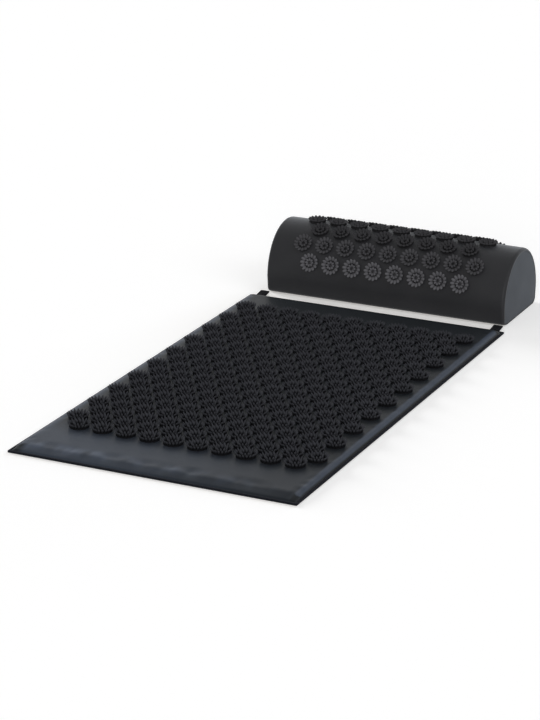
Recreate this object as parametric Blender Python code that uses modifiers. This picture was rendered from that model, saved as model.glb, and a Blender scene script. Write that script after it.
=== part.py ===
"""Acupressure mat and its half-round neck pillow, as separate named pieces.

Lengths are in metres. The origin is the centre of the mat's underside, +X runs across the mat, +Y runs
from its foot to its head, where the pillow stands, and +Z is up.
"""

import math

import bmesh
import bpy
from mathutils import Matrix, Vector

# Cloth, the gap between pieces that touch, and how far a cutter runs past what it cuts
CLOTH = 0.0006
GAP = 0.0003
OVERRUN = 0.002

# Mat, over the edge binding
MAT_WIDTH = 0.434
MAT_LENGTH = 0.755
MAT_HEIGHT = 0.009

# Edge binding: a tape folded round the flanges of both cloth panels
BINDING_TAPE = 0.0004
BINDING_WIDTH = 0.0035
BINDING_CORNER = 0.0015
BINDING_CORNER_STEPS = 3
FLANGE_SHOWN = 0.0006

# Slopes from the flange up to the flat top, and where the lower panel comes down to the floor
SIDE_SLOPE = 0.008
HEAD_SLOPE = 0.012
FOOT_SLOPE = 0.020
FLOOR_SLOPE = 0.0034

# How a slope climbs: along it from flange to top, and up it. The sides are fuller than the ends
SIDE_ALONG_SHARES = (0.0, 0.16, 0.50, 1.0)
SIDE_UP_SHARES = (0.0, 0.48, 0.86, 1.0)
END_ALONG_SHARES = (0.0, 0.12, 0.80, 1.0)
END_UP_SHARES = (0.0, 0.30, 0.93, 1.0)
FOAM_START_SHARE = 0.28
FOAM_SLACK = 0.0003

# Rosettes
ROSETTE_PITCH = 0.0367
ROW_PITCH = 0.0296
ROSETTE_SIDES = 6
BASE_RADIUS = 0.0140
BONDING_FILM = 0.0006
SPIKE_RING_DEPTH = 0.0066
MAT_TIP_RADIUS = 0.0170
PILLOW_TIP_RADIUS = 0.0152
INNER_TIP_RADIUS = 0.0045
TIP_HEIGHT = 0.0066

# Blank margins from an edge to the nearest rosette centre
HEAD_MARGIN = 0.0855
FOOT_MARGIN = 0.1065
PILLOW_MARGIN = 0.050

# Webbing tabs at the head corners
TAB_WIDTH = 0.0145
TAB_LENGTH = 0.019
TAB_WEBBING = 0.0012
TAB_INSET = 0.017
TAB_TILT = math.radians(8.0)
TAB_FOLD_STEPS = 6

# Pillow
PILLOW_FROM_MAT = 0.0256
PILLOW_ASIDE = 0.0019
PILLOW_LENGTH = 0.407
PILLOW_DEPTH = 0.1485
PILLOW_HEIGHT = 0.1065
PILLOW_WAIST = 0.0277
PILLOW_ZIP_TOP = 0.0240
PILLOW_ZIP_BOTTOM = 0.0088
PILLOW_TUCK_TOP = 0.0003
PILLOW_TUCK_BOTTOM = 0.0018
PILLOW_CORNER = 0.0120
PILLOW_HEM = 0.0030
PILLOW_END_RADIUS = 0.0050
PILLOW_END_CROWN = 0.0015
PILLOW_END_FLAT_SHARE = 0.80
ARCH_STEPS = 16
CORNER_STEPS = 2
END_STEPS = 3
ARC_WALK_STEPS = 4000

# Zip fastener in the pillow's cover
PILLOW_ZIP_LENGTH = 0.280
ZIP_TAPE_WIDTH = 0.0024
ZIP_TAPE = 0.0005
ZIP_COIL_WIDTH = 0.0034
ZIP_COIL_HEIGHT = 0.0016
ZIP_COIL_SHORT = 0.004
ZIP_COIL_ROUNDING = 0.0006
SLIDER_LENGTH = 0.008
SLIDER_WALL = 0.0011
SLIDER_ROOF = 0.0009
SLIDER_ROUNDING = 0.0004
SLIDER_REST = 0.008
BRIDGE_SPAN = 0.0026
BRIDGE_POST = 0.0008
BRIDGE_WIDTH = 0.0016
BRIDGE_TOP = 0.0007
PULL_THICKNESS = 0.0009
PULL_WIDTH = 0.0056
PULL_LENGTH = 0.022
PULL_EYE_WIDTH = 0.0028
PULL_EYE_LENGTH = 0.0030
PULL_CORNER = 0.0012
PULL_CORNER_STEPS = 3

# Finishes: colour, roughness and metallic
MAT_CLOTH = ((0.045, 0.052, 0.060), 0.80, 0.0)
PILLOW_CLOTH = ((0.024, 0.024, 0.027), 0.85, 0.0)
PILLOW_END_CLOTH = ((0.060, 0.065, 0.074), 0.85, 0.0)
BINDING_CLOTH = ((0.014, 0.015, 0.020), 0.70, 0.0)
MAT_PLASTIC = ((0.022, 0.023, 0.027), 0.45, 0.0)
PILLOW_PLASTIC = ((0.070, 0.070, 0.076), 0.45, 0.0)
WEBBING = ((0.010, 0.010, 0.012), 0.80, 0.0)
FOAM = ((0.55, 0.55, 0.52), 0.95, 0.0)
ZIP_TAPE_CLOTH = ((0.016, 0.016, 0.018), 0.85, 0.0)
ZIP_COIL_NYLON = ((0.020, 0.020, 0.022), 0.40, 0.0)
ZIP_METAL = ((0.09, 0.09, 0.10), 0.35, 1.0)

# Levels in the mat's edge, from the floor up
BASE_FLANGE = BINDING_TAPE + GAP
TOP_FLANGE = BASE_FLANGE + CLOTH + GAP
TOP_FLANGE_FACE = TOP_FLANGE + CLOTH
BINDING_HEIGHT = TOP_FLANGE_FACE + GAP + BINDING_TAPE
FLANGE_REACH = BINDING_TAPE + GAP
FLANGE_INNER = BINDING_WIDTH + FLANGE_SHOWN

# The flanges' corners are clipped to suit the binding's rounded ones
CORNER_CLIP = (BINDING_CORNER - FLANGE_REACH) * (1 - math.cos(math.radians(45.0)))

# The pillow's section, from its widest level down to the base seam
PILLOW_HALF = PILLOW_DEPTH / 2
PILLOW_ARCH = PILLOW_HEIGHT - PILLOW_WAIST
PILLOW_CENTRE_Y = MAT_LENGTH / 2 + PILLOW_FROM_MAT + PILLOW_HALF
ROW_PLANE = MAT_HEIGHT + GAP

# The fold of a tab keeps a gap between its two layers
TAB_FOLD_RADIUS = (TAB_WEBBING + GAP) / 2


def start_clean():
    """Empties the scene and returns the collections for the parts and the cutters."""
    for obj in list(bpy.data.objects):
        bpy.data.objects.remove(obj, do_unlink=True)
    parts = bpy.data.collections.new("acupressure_mat_set")
    cutters = bpy.data.collections.new("cutters")
    for collection in (parts, cutters):
        bpy.context.scene.collection.children.link(collection)
    return parts, cutters


PARTS, CUTTERS = start_clean()


def put(name, data, collection=PARTS, parent=None, matrix=Matrix.Identity(4)):
    """An object in a collection, placed under its parent."""
    obj = bpy.data.objects.new(name, data)
    collection.objects.link(obj)
    obj.parent = parent
    obj.matrix_local = matrix
    return obj


def give_finish(obj, finish):
    """One Principled material of the object's own."""
    colour, roughness, metallic = finish
    material = bpy.data.materials.new(obj.name + "_finish")
    material.use_nodes = True
    shader = material.node_tree.nodes["Principled BSDF"]
    shader.inputs["Base Color"].default_value = (*colour, 1.0)
    shader.inputs["Roughness"].default_value = roughness
    shader.inputs["Metallic"].default_value = metallic
    material.diffuse_color = (*colour, 1.0)
    obj.data.materials.append(material)
    return obj


def mesh_of(name, bm):
    """A mesh from a finished bmesh, which is freed."""
    mesh = bpy.data.meshes.new(name)
    bm.to_mesh(mesh)
    bm.free()
    return mesh


def faces_out(bm):
    """Turns the faces of a closed shape outwards, also where spikes lean over its rim."""
    bmesh.ops.recalc_face_normals(bm, faces=bm.faces)
    if bm.calc_volume(signed=True) < 0:
        bmesh.ops.reverse_faces(bm, faces=bm.faces)


def sheet(columns, rows, place):
    """A grid of quads whose corner in a column and a row lies where place says."""
    bm = bmesh.new()
    bmesh.ops.create_grid(bm, x_segments=columns - 1, y_segments=rows - 1, size=1)
    for vert in bm.verts:
        column = round((vert.co.x + 1) / 2 * (columns - 1))
        row = round((vert.co.y + 1) / 2 * (rows - 1))
        vert.co = place(column, row)
    return bm


def thicken(obj, thickness, offset):
    """Gives an open sheet its wall, offset 1 along its normals, -1 against them, 0 about it."""
    solidify = obj.modifiers.new("Wall", "SOLIDIFY")
    solidify.thickness = thickness
    solidify.offset = offset
    solidify.use_even_offset = True


def round_edges(obj, width, angle=math.radians(40.0)):
    bevel = obj.modifiers.new("Rounded edges", "BEVEL")
    bevel.width = width
    bevel.segments = 1
    bevel.limit_method = "ANGLE"
    bevel.angle_limit = angle


def smooth(obj, angle=math.radians(40.0)):
    """Smooth shading with its sharp edges kept."""
    obj.data.shade_smooth()
    obj.data.set_sharp_from_angle(angle=angle)


def mirrored_lines(distances, half):
    """Grid lines at these distances inside both edges, from the low edge to the high one."""
    low = [-half + distance for distance in distances]
    return low + [-line for line in reversed(low)]


def clip_corner(x, y):
    """Draws a panel's own corner in from the square one, inside the rounded binding."""
    if abs(x) == MAT_WIDTH / 2 - FLANGE_REACH and abs(y) == MAT_LENGTH / 2 - FLANGE_REACH:
        return x - math.copysign(CORNER_CLIP, x), y - math.copysign(CORNER_CLIP, y)
    return x, y


def rise_share(distance, slope, along_shares, up_shares):
    """How much of the full rise a slope has reached, this far in from the flange."""
    along = min(max(distance / slope, 0.0), 1.0)
    steps = list(zip(along_shares, up_shares))
    for (a, up_a), (b, up_b) in zip(steps, steps[1:]):
        if along <= b:
            return up_a + (up_b - up_a) * (along - a) / (b - a)
    return up_shares[-1]


def top_height(x, y):
    """The upper panel's outer face above the floor."""
    across = MAT_WIDTH / 2 - FLANGE_INNER - abs(x)
    along = MAT_LENGTH / 2 - FLANGE_INNER - abs(y)
    side_share = rise_share(across, SIDE_SLOPE, SIDE_ALONG_SHARES, SIDE_UP_SHARES)
    end_share = rise_share(along, HEAD_SLOPE if y > 0 else FOOT_SLOPE, END_ALONG_SHARES, END_UP_SHARES)
    return TOP_FLANGE_FACE + (MAT_HEIGHT - TOP_FLANGE_FACE) * side_share * end_share


def bends(slope, along_shares, start_share=0.0):
    """Distances in from the mat's edge at which a slope bends."""
    shares = [share for share in along_shares if share > start_share]
    return [FLANGE_INNER + share * slope for share in [start_share, *shares]]


def panel_lines(start_share=0.0):
    """Grid lines across the mat and along it, from where its slopes start up to their tops."""
    across = bends(SIDE_SLOPE, SIDE_ALONG_SHARES, start_share)
    foot = bends(FOOT_SLOPE, END_ALONG_SHARES, start_share)
    head = bends(HEAD_SLOPE, END_ALONG_SHARES, start_share)
    half = MAT_LENGTH / 2
    along = [distance - half for distance in foot] + [half - distance for distance in reversed(head)]
    return mirrored_lines(across, MAT_WIDTH / 2), along


def build_mat_top_panel():
    xs, ys = panel_lines()
    rim_x, rim_y = MAT_WIDTH / 2 - FLANGE_REACH, MAT_LENGTH / 2 - FLANGE_REACH
    xs = [-rim_x, *xs, rim_x]
    ys = [-rim_y, *ys, rim_y]

    def place(i, j):
        return Vector((*clip_corner(xs[i], ys[j]), top_height(xs[i], ys[j])))

    panel = put("mat_top_panel", mesh_of("mat_top_panel", sheet(len(xs), len(ys), place)))
    thicken(panel, CLOTH, -1)
    smooth(panel)
    give_finish(panel, MAT_CLOTH)


def build_mat_base_panel():
    distances = [FLANGE_REACH, FLANGE_INNER, FLANGE_INNER + FLOOR_SLOPE]
    xs = mirrored_lines(distances, MAT_WIDTH / 2)
    ys = mirrored_lines(distances, MAT_LENGTH / 2)
    on_floor = range(2, len(xs) - 2)

    def place(i, j):
        level = 0.0 if i in on_floor and j in on_floor else BASE_FLANGE
        return Vector((*clip_corner(xs[i], ys[j]), level))

    panel = put("mat_base_panel", mesh_of("mat_base_panel", sheet(len(xs), len(ys), place)))
    thicken(panel, CLOTH, 1)
    give_finish(panel, MAT_CLOTH)


def build_mat_foam_core():
    """A slab that follows the underside of the upper panel."""
    drop = CLOTH + GAP + FOAM_SLACK
    floor = CLOTH + GAP
    xs, ys = panel_lines(FOAM_START_SHARE)
    bm = sheet(len(xs), len(ys), lambda i, j: Vector((xs[i], ys[j], top_height(xs[i], ys[j]) - drop)))
    rim = [edge for edge in bm.edges if edge.is_boundary]
    walls = bmesh.ops.extrude_edge_only(bm, edges=rim)["geom"]
    for vert in [item for item in walls if isinstance(item, bmesh.types.BMVert)]:
        vert.co.z = floor
    bmesh.ops.holes_fill(bm, edges=[edge for edge in bm.edges if edge.is_boundary], sides=0)
    faces_out(bm)
    core = put("mat_foam_core", mesh_of("mat_foam_core", bm))
    smooth(core)
    give_finish(core, FOAM)


def rounded_rectangle(half_x, half_y, radius, steps):
    """Points round a rectangle with rounded corners, counter-clockwise."""
    points = []
    for turn, (side_x, side_y) in enumerate(((1, -1), (1, 1), (-1, 1), (-1, -1))):
        for step in range(steps + 1):
            angle = math.radians(90.0) * (turn - 1 + step / steps)
            x = side_x * (half_x - radius) + radius * math.cos(angle)
            y = side_y * (half_y - radius) + radius * math.sin(angle)
            points.append((x, y))
    return points


def build_mat_edge_binding():
    """A folded tape, open towards the mat, run round the rounded outline."""
    tape = BINDING_TAPE
    top = BINDING_HEIGHT
    fold = [(0.0, 0.0), (0.0, top), (-BINDING_WIDTH, top), (-BINDING_WIDTH, top - tape)]
    fold += [(-tape, top - tape), (-tape, tape), (-BINDING_WIDTH, tape), (-BINDING_WIDTH, 0.0)]
    outline = rounded_rectangle(MAT_WIDTH / 2, MAT_LENGTH / 2, BINDING_CORNER, BINDING_CORNER_STEPS)
    inner_x, inner_y = MAT_WIDTH / 2 - BINDING_WIDTH, MAT_LENGTH / 2 - BINDING_WIDTH
    inner = rounded_rectangle(inner_x, inner_y, 0.0, BINDING_CORNER_STEPS)
    columns = len(outline) + 1
    rows = len(fold) + 1

    def place(i, j):
        start = Vector((*outline[i % len(outline)], 0.0))
        inward = (Vector((*inner[i % len(inner)], 0.0)) - start) / BINDING_WIDTH
        reach, level = fold[j % len(fold)]
        return start - inward * reach + Vector((0.0, 0.0, level))

    bm = sheet(columns, rows, place)
    bmesh.ops.remove_doubles(bm, verts=bm.verts, dist=GAP / 10)
    faces_out(bm)
    binding = put("mat_edge_binding", mesh_of("mat_edge_binding", bm))
    smooth(binding)
    give_finish(binding, BINDING_CLOTH)


def rosette_places(count):
    return [(index - (count - 1) / 2) * ROSETTE_PITCH for index in range(count)]


def edge_facing(face, side):
    """The edge of a rosette's base that faces its neighbour on this side."""
    return max(face.edges, key=lambda edge: side * sum(vert.co.x for vert in edge.verts))


def raise_spikes(bm, disc, tip_radius):
    """Grows two rings of spikes from a rosette's disc: leaning ones at its rim and upright ones inside."""
    centre = disc.calc_center_median()
    rim = bmesh.ops.inset_region(bm, faces=[disc], thickness=SPIKE_RING_DEPTH)["faces"]
    outer_tips = bmesh.ops.poke(bm, faces=rim)["verts"]
    fan = bmesh.ops.poke(bm, faces=[disc])["faces"]
    inner_tips = bmesh.ops.poke(bm, faces=fan)["verts"]
    for tips, radius in ((outer_tips, tip_radius), (inner_tips, INNER_TIP_RADIUS)):
        for tip in tips:
            arm = tip.co - centre
            arm.z = 0.0
            tip.co = centre + arm.normalized() * radius
            tip.co.z = TIP_HEIGHT


def rosette_row_mesh(name, count, tip_radius):
    """Rosettes along X on the bonding film that joins them, standing on z = 0."""
    bm = bmesh.new()
    bases = []
    for x in rosette_places(count):
        verts = bmesh.ops.create_circle(
            bm,
            cap_ends=True,
            segments=ROSETTE_SIDES,
            radius=BASE_RADIUS,
            matrix=Matrix.Translation((x, 0.0, 0.0)),
        )["verts"]
        bases.append(verts[0].link_faces[0])
    for left, right in zip(bases, bases[1:]):
        bmesh.ops.contextual_create(bm, geom=[edge_facing(left, 1), edge_facing(right, -1)])
    grown = bmesh.ops.extrude_face_region(bm, geom=list(bm.faces), use_keep_orig=True)["geom"]
    raised = [item for item in grown if isinstance(item, bmesh.types.BMVert)]
    bmesh.ops.translate(bm, verts=raised, vec=(0.0, 0.0, BONDING_FILM))
    tops = [item for item in grown if isinstance(item, bmesh.types.BMFace)]
    for face in [face for face in tops if len(face.verts) == ROSETTE_SIDES]:
        raise_spikes(bm, face, tip_radius)
    faces_out(bm)
    return mesh_of(name, bm)


def fitting_count(room, pitch):
    """How many rosettes or rows fit in a stretch between the first centre and the last."""
    return int(room / pitch) + 1


def build_mat_rosettes():
    """Staggered rows, the first nearest the head."""
    room_across = MAT_WIDTH - 2 * (FLANGE_INNER + SIDE_SLOPE + MAT_TIP_RADIUS)
    wide = fitting_count(room_across, ROSETTE_PITCH)
    rows = fitting_count(MAT_LENGTH - HEAD_MARGIN - FOOT_MARGIN, ROW_PITCH)
    for row in range(rows):
        name = f"mat_rosette_row_{row + 1:02d}"
        mesh = rosette_row_mesh(name, wide - row % 2, MAT_TIP_RADIUS)
        y = MAT_LENGTH / 2 - HEAD_MARGIN - row * ROW_PITCH
        give_finish(put(name, mesh, matrix=Matrix.Translation((0.0, y, ROW_PLANE))), MAT_PLASTIC)


def build_tab(name, side):
    """A strip of webbing folded on itself, hinged where it is sewn into the binding."""
    straight = TAB_LENGTH - TAB_FOLD_RADIUS - TAB_WEBBING / 2
    middle = -TAB_FOLD_RADIUS - TAB_WEBBING / 2
    route = [(0.0, middle - TAB_FOLD_RADIUS)]
    for step in range(TAB_FOLD_STEPS + 1):
        angle = math.radians(180.0) * step / TAB_FOLD_STEPS
        reach = straight + TAB_FOLD_RADIUS * math.sin(angle)
        route.append((reach, middle - TAB_FOLD_RADIUS * math.cos(angle)))
    route.append((0.0, middle + TAB_FOLD_RADIUS))
    edges = (-TAB_WIDTH / 2, TAB_WIDTH / 2)
    bm = sheet(len(edges), len(route), lambda i, j: Vector((edges[i], *route[j])))
    seam = (side * (MAT_WIDTH / 2 - TAB_INSET), MAT_LENGTH / 2 + GAP, BINDING_HEIGHT + GAP)
    placed = Matrix.Translation(seam) @ Matrix.Rotation(TAB_TILT, 4, "X")
    tab = put(name, mesh_of(name, bm), matrix=placed)
    thicken(tab, TAB_WEBBING, 0)
    smooth(tab)
    give_finish(tab, WEBBING)


def pillow_half_section(inset, floor=0.0):
    """The back half of the pillow's section as (out, up) points, from its top to the base seam."""
    half = PILLOW_HALF - inset
    arch = PILLOW_ARCH - inset
    points = []
    for step in range(ARCH_STEPS // 2 + 1):
        angle = math.radians(90.0) * (1 - step / (ARCH_STEPS // 2))
        points.append((half * math.cos(angle), PILLOW_WAIST + arch * math.sin(angle)))
    points.append((half - PILLOW_TUCK_TOP, PILLOW_ZIP_TOP))
    low = half - PILLOW_TUCK_BOTTOM
    points.append((low, PILLOW_ZIP_BOTTOM))
    corner = PILLOW_CORNER - floor
    for step in range(1, CORNER_STEPS + 1):
        angle = math.radians(90.0) * step / CORNER_STEPS
        out = low - corner * (1 - math.cos(angle))
        points.append((out, floor + (PILLOW_ZIP_BOTTOM - floor) * (1 - math.sin(angle))))
    points.append((low - corner - PILLOW_HEM, floor))
    return points


def pillow_section(inset, floor=0.0):
    """The whole section as (y, z) points, from the front base seam over the top to the back one."""
    back = pillow_half_section(inset, floor)
    front = [(-out, up) for out, up in reversed(back[1:])]
    return front + back


def pillow_stations(inset):
    """(x, inset) of the sections along the pillow: its ends turn in with a radius."""
    radius = PILLOW_END_RADIUS - inset
    straight = PILLOW_LENGTH / 2 - PILLOW_END_RADIUS
    ends = []
    for step in range(END_STEPS + 1):
        angle = math.radians(90.0) * step / END_STEPS
        ends.append((straight + radius * math.sin(angle), inset + radius * (1 - math.cos(angle))))
    return [(-x, turned) for x, turned in reversed(ends)] + ends


def pillow_surface(inset, floor=0.0):
    """The pillow's skin as a sheet: columns along it and rows round it."""
    stations = pillow_stations(inset)
    sections = [pillow_section(turned, floor) for _, turned in stations]
    columns = len(stations)
    rows = len(sections[0])
    return sheet(columns, rows, lambda i, j: Vector((stations[i][0], *sections[i][j])))


def build_pillow_wrap(place):
    wrap = put("pillow_wrap_panel", mesh_of("pillow_wrap_panel", pillow_surface(0.0)), parent=place)
    thicken(wrap, CLOTH, -1)
    smooth(wrap)
    give_finish(wrap, PILLOW_CLOTH)


def build_pillow_base(place):
    """The flat underside, a gap inside the seam of the wrap all the way round."""
    bm = bmesh.new()
    seam_half = pillow_half_section(0.0)[-1][0]
    half_y = seam_half - GAP
    half_x = PILLOW_LENGTH / 2
    outline = rounded_rectangle(half_x, half_y, PILLOW_END_RADIUS, END_STEPS)
    verts = [bm.verts.new((x, y, 0.0)) for x, y in outline]
    bmesh.ops.contextual_create(bm, geom=verts)
    faces_up = list(bm.faces)[0]
    if faces_up.normal.z < 0:
        faces_up.normal_flip()
    base = put("pillow_base_panel", mesh_of("pillow_base_panel", bm), parent=place)
    thicken(base, CLOTH, 1)
    give_finish(base, PILLOW_CLOTH)


def build_pillow_end(place, name, side):
    """A flat D with a slight crown, set edge to edge inside the turned end of the wrap."""
    bm = bmesh.new()
    floor = CLOTH + GAP
    outline = pillow_section(PILLOW_END_RADIUS + GAP, floor)
    x = side * PILLOW_LENGTH / 2
    verts = [bm.verts.new((x, y, z)) for y, z in outline]
    bmesh.ops.contextual_create(bm, geom=verts)
    face = list(bm.faces)[0]
    bm.normal_update()
    if face.normal.x * side < 0:
        face.normal_flip()
    flat = bmesh.ops.extrude_discrete_faces(bm, faces=[face])["faces"][0]
    middle = flat.calc_center_median()
    for vert in flat.verts:
        vert.co = middle + (vert.co - middle) * PILLOW_END_FLAT_SHARE
        vert.co.x += side * PILLOW_END_CROWN
    panel = put(name, mesh_of(name, bm), parent=place)
    thicken(panel, CLOTH, -1)
    smooth(panel)
    give_finish(panel, PILLOW_END_CLOTH)


def build_pillow_foam(place):
    """The half-round block that fills the wrap."""
    bm = pillow_surface(CLOTH + GAP, CLOTH + GAP)
    bmesh.ops.holes_fill(bm, edges=[edge for edge in bm.edges if edge.is_boundary], sides=0)
    faces_out(bm)
    core = put("pillow_foam_core", mesh_of("pillow_foam_core", bm), parent=place)
    smooth(core)
    give_finish(core, FOAM)


def arch_point(angle):
    """A point on the pillow's arch, as (out, up) from the middle of its widest level."""
    return Vector((PILLOW_HALF * math.sin(angle), PILLOW_ARCH * math.cos(angle)))


def arch_angle_at(distance):
    """The angle from the top at which the arch is this long, and its tilt there."""
    quarter = math.radians(90.0)
    walked = 0.0
    before = arch_point(0.0)
    for step in range(1, ARC_WALK_STEPS + 1):
        angle = quarter * step / ARC_WALK_STEPS
        here = arch_point(angle)
        walked += (here - before).length
        before = here
        if walked >= distance:
            return angle
    return quarter


def arch_length():
    """Length of the arch from its top to its widest level."""
    quarter = math.radians(90.0)
    points = [arch_point(quarter * step / ARC_WALK_STEPS) for step in range(ARC_WALK_STEPS + 1)]
    return sum((b - a).length for a, b in zip(points, points[1:]))


def build_pillow_rosettes(place):
    """Rows over the arch, numbered from the front up and over to the back."""
    room_along = PILLOW_LENGTH - 2 * PILLOW_MARGIN
    wide = fitting_count(room_along, ROSETTE_PITCH)
    each_side = int((arch_length() - PILLOW_TIP_RADIUS) / ROW_PITCH)
    for row in range(-each_side, each_side + 1):
        name = f"pillow_rosette_row_{row + each_side + 1}"
        mesh = rosette_row_mesh(name, wide - row % 2, PILLOW_TIP_RADIUS)
        angle = arch_angle_at(abs(row) * ROW_PITCH) if row else 0.0
        out, up = arch_point(angle)
        side = math.copysign(1.0, row)
        normal = Vector((out / PILLOW_HALF ** 2, up / PILLOW_ARCH ** 2)).normalized()
        foot = Vector((0.0, side * (out + GAP * normal.x), PILLOW_WAIST + up + GAP * normal.y))
        tilt = -side * math.atan2(normal.x, normal.y)
        placed = Matrix.Translation(foot) @ Matrix.Rotation(tilt, 4, "X")
        give_finish(put(name, mesh, parent=place, matrix=placed), PILLOW_PLASTIC)


def block(bm, low, high):
    """A box between two corners, from the cube primitive."""
    size = Vector(high) - Vector(low)
    centre = (Vector(high) + Vector(low)) / 2
    matrix = Matrix.Translation(centre) @ Matrix.Diagonal((*size, 1.0))
    bmesh.ops.create_cube(bm, size=1, matrix=matrix)


def block_object(name, low, high, parent, collection=PARTS):
    bm = bmesh.new()
    block(bm, low, high)
    return put(name, mesh_of(name, bm), collection, parent)


def add_boolean(obj, cutter, operation):
    """Cuts or joins another object, which becomes a hidden wire guide."""
    boolean = obj.modifiers.new(cutter.name, "BOOLEAN")
    boolean.operation = operation
    boolean.object = cutter
    cutter.hide_render = True
    cutter.display_type = "WIRE"


def build_zip_tapes(prefix, length, carrier):
    """Two tapes on the cloth, one each side of the coil."""
    inner = ZIP_COIL_WIDTH / 2 + GAP
    for label, side in (("upper", -1), ("lower", 1)):
        across = sorted((side * inner, side * (inner + ZIP_TAPE_WIDTH)))
        low = (-length / 2, across[0], GAP)
        high = (length / 2, across[1], GAP + ZIP_TAPE)
        give_finish(block_object(f"{prefix}_zip_tape_{label}", low, high, carrier), ZIP_TAPE_CLOTH)


def build_zip_coil(prefix, length, carrier):
    half = length / 2 - ZIP_COIL_SHORT
    low = (-half, -ZIP_COIL_WIDTH / 2, GAP)
    high = (half, ZIP_COIL_WIDTH / 2, GAP + ZIP_COIL_HEIGHT)
    coil = block_object(f"{prefix}_zip_coil", low, high, carrier)
    round_edges(coil, ZIP_COIL_ROUNDING)
    give_finish(coil, ZIP_COIL_NYLON)


def slider_levels():
    """Heights above the cloth: underside of the roof, its top, the pull's axis and the bridge's top."""
    roof = GAP + ZIP_COIL_HEIGHT + GAP
    top = roof + SLIDER_ROOF
    corner = PULL_THICKNESS / 2 * math.sqrt(2)
    axis = top + corner + GAP
    bridge = axis + corner + GAP + BRIDGE_TOP
    return roof, top, axis, bridge


def build_zip_slider(prefix, length, carrier):
    """A channel that straddles the coil, with the bridge that holds the pull."""
    roof, top, axis, bridge = slider_levels()
    rest = -length / 2 + SLIDER_REST
    name = f"{prefix}_zip_slider"
    seat = put(name + "_seat", None, parent=carrier, matrix=Matrix.Translation((rest, 0.0, 0.0)))
    inner = ZIP_COIL_WIDTH / 2 + GAP
    outer = inner + SLIDER_WALL
    half = SLIDER_LENGTH / 2
    foot = GAP + ZIP_TAPE + GAP
    slider = block_object(name, (-half, -outer, foot), (half, outer, top), seat)
    round_edges(slider, SLIDER_ROUNDING)
    channel_low = (-half - OVERRUN, -inner, foot - OVERRUN)
    channel_high = (half + OVERRUN, inner, roof)
    channel = block_object(name + "_channel", channel_low, channel_high, seat, CUTTERS)
    add_boolean(slider, channel, "DIFFERENCE")
    span = BRIDGE_SPAN / 2 + BRIDGE_POST
    root = top - SLIDER_ROOF / 2
    arch = block_object(
        name + "_bridge", (-span, -BRIDGE_WIDTH / 2, root), (span, BRIDGE_WIDTH / 2, bridge), seat, CUTTERS
    )
    add_boolean(slider, arch, "UNION")
    window_low = (-BRIDGE_SPAN / 2, -BRIDGE_WIDTH / 2 - OVERRUN, top)
    window_high = (BRIDGE_SPAN / 2, BRIDGE_WIDTH / 2 + OVERRUN, bridge - BRIDGE_TOP)
    window = block_object(name + "_window", window_low, window_high, seat, CUTTERS)
    add_boolean(slider, window, "DIFFERENCE")
    give_finish(slider, ZIP_METAL)
    return seat, axis


def spline_through(curve, points):
    """A closed straight-sided outline on a flat curve."""
    spline = curve.splines.new("POLY")
    spline.points.add(len(points) - 1)
    for point, (x, y) in zip(spline.points, points):
        point.co = (x, y, 0.0, 1.0)
    spline.use_cyclic_u = True


def build_zip_pull(prefix, seat, axis):
    """A flat plate with an eye round the bridge, lying along the zip."""
    name = f"{prefix}_zip_pull"
    bar = PULL_THICKNESS / 2
    curve = bpy.data.curves.new(name, "CURVE")
    curve.dimensions = "2D"
    curve.fill_mode = "BOTH"
    curve.extrude = PULL_THICKNESS / 2
    half = (PULL_LENGTH + bar) / 2
    plate = rounded_rectangle(half, PULL_WIDTH / 2, PULL_CORNER, PULL_CORNER_STEPS)
    spline_through(curve, [(x + half - bar, y) for x, y in plate])
    eye_low = Vector((bar, -PULL_EYE_WIDTH / 2))
    eye_high = Vector((PULL_EYE_LENGTH, PULL_EYE_WIDTH / 2))
    eye = [(eye_low.x, eye_low.y), (eye_high.x, eye_low.y), (eye_high.x, eye_high.y), (eye_low.x, eye_high.y)]
    spline_through(curve, eye)
    give_finish(put(name, curve, parent=seat, matrix=Matrix.Translation((0.0, 0.0, axis))), ZIP_METAL)


def build_zip(prefix, length, frame, place):
    """A whole fastener on a flat of cloth: frame's X runs along it and Z points out of the cloth."""
    carrier = put(prefix + "_zip_line", None, parent=place, matrix=frame)
    build_zip_tapes(prefix, length, carrier)
    build_zip_coil(prefix, length, carrier)
    seat, axis = build_zip_slider(prefix, length, carrier)
    build_zip_pull(prefix, seat, axis)


def flat_frame(upper, lower):
    """The frame on the middle of a flat between two (y, z) points: Y runs down it and Z out of it."""
    upper, lower = Vector((0.0, *upper)), Vector((0.0, *lower))
    along = Vector((1.0, 0.0, 0.0))
    down = (lower - upper).normalized()
    axes = Matrix((along, down, along.cross(down))).transposed().to_4x4()
    return Matrix.Translation((upper + lower) / 2) @ axes


def build_pillow_zip(place):
    """On the flat low down the back."""
    back = pillow_half_section(0.0)
    upper = next(point for point in back if point[1] == PILLOW_ZIP_TOP)
    lower = next(point for point in back if point[1] == PILLOW_ZIP_BOTTOM)
    build_zip("pillow", PILLOW_ZIP_LENGTH, flat_frame(upper, lower), place)


def main():
    build_mat_top_panel()
    build_mat_base_panel()
    build_mat_foam_core()
    build_mat_edge_binding()
    build_mat_rosettes()
    build_tab("mat_tab_left", -1)
    build_tab("mat_tab_right", 1)
    place = put("pillow_place", None, matrix=Matrix.Translation((PILLOW_ASIDE, PILLOW_CENTRE_Y, 0.0)))
    build_pillow_wrap(place)
    build_pillow_base(place)
    build_pillow_end(place, "pillow_end_panel_left", -1)
    build_pillow_end(place, "pillow_end_panel_right", 1)
    build_pillow_foam(place)
    build_pillow_rosettes(place)
    build_pillow_zip(place)


main()
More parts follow.
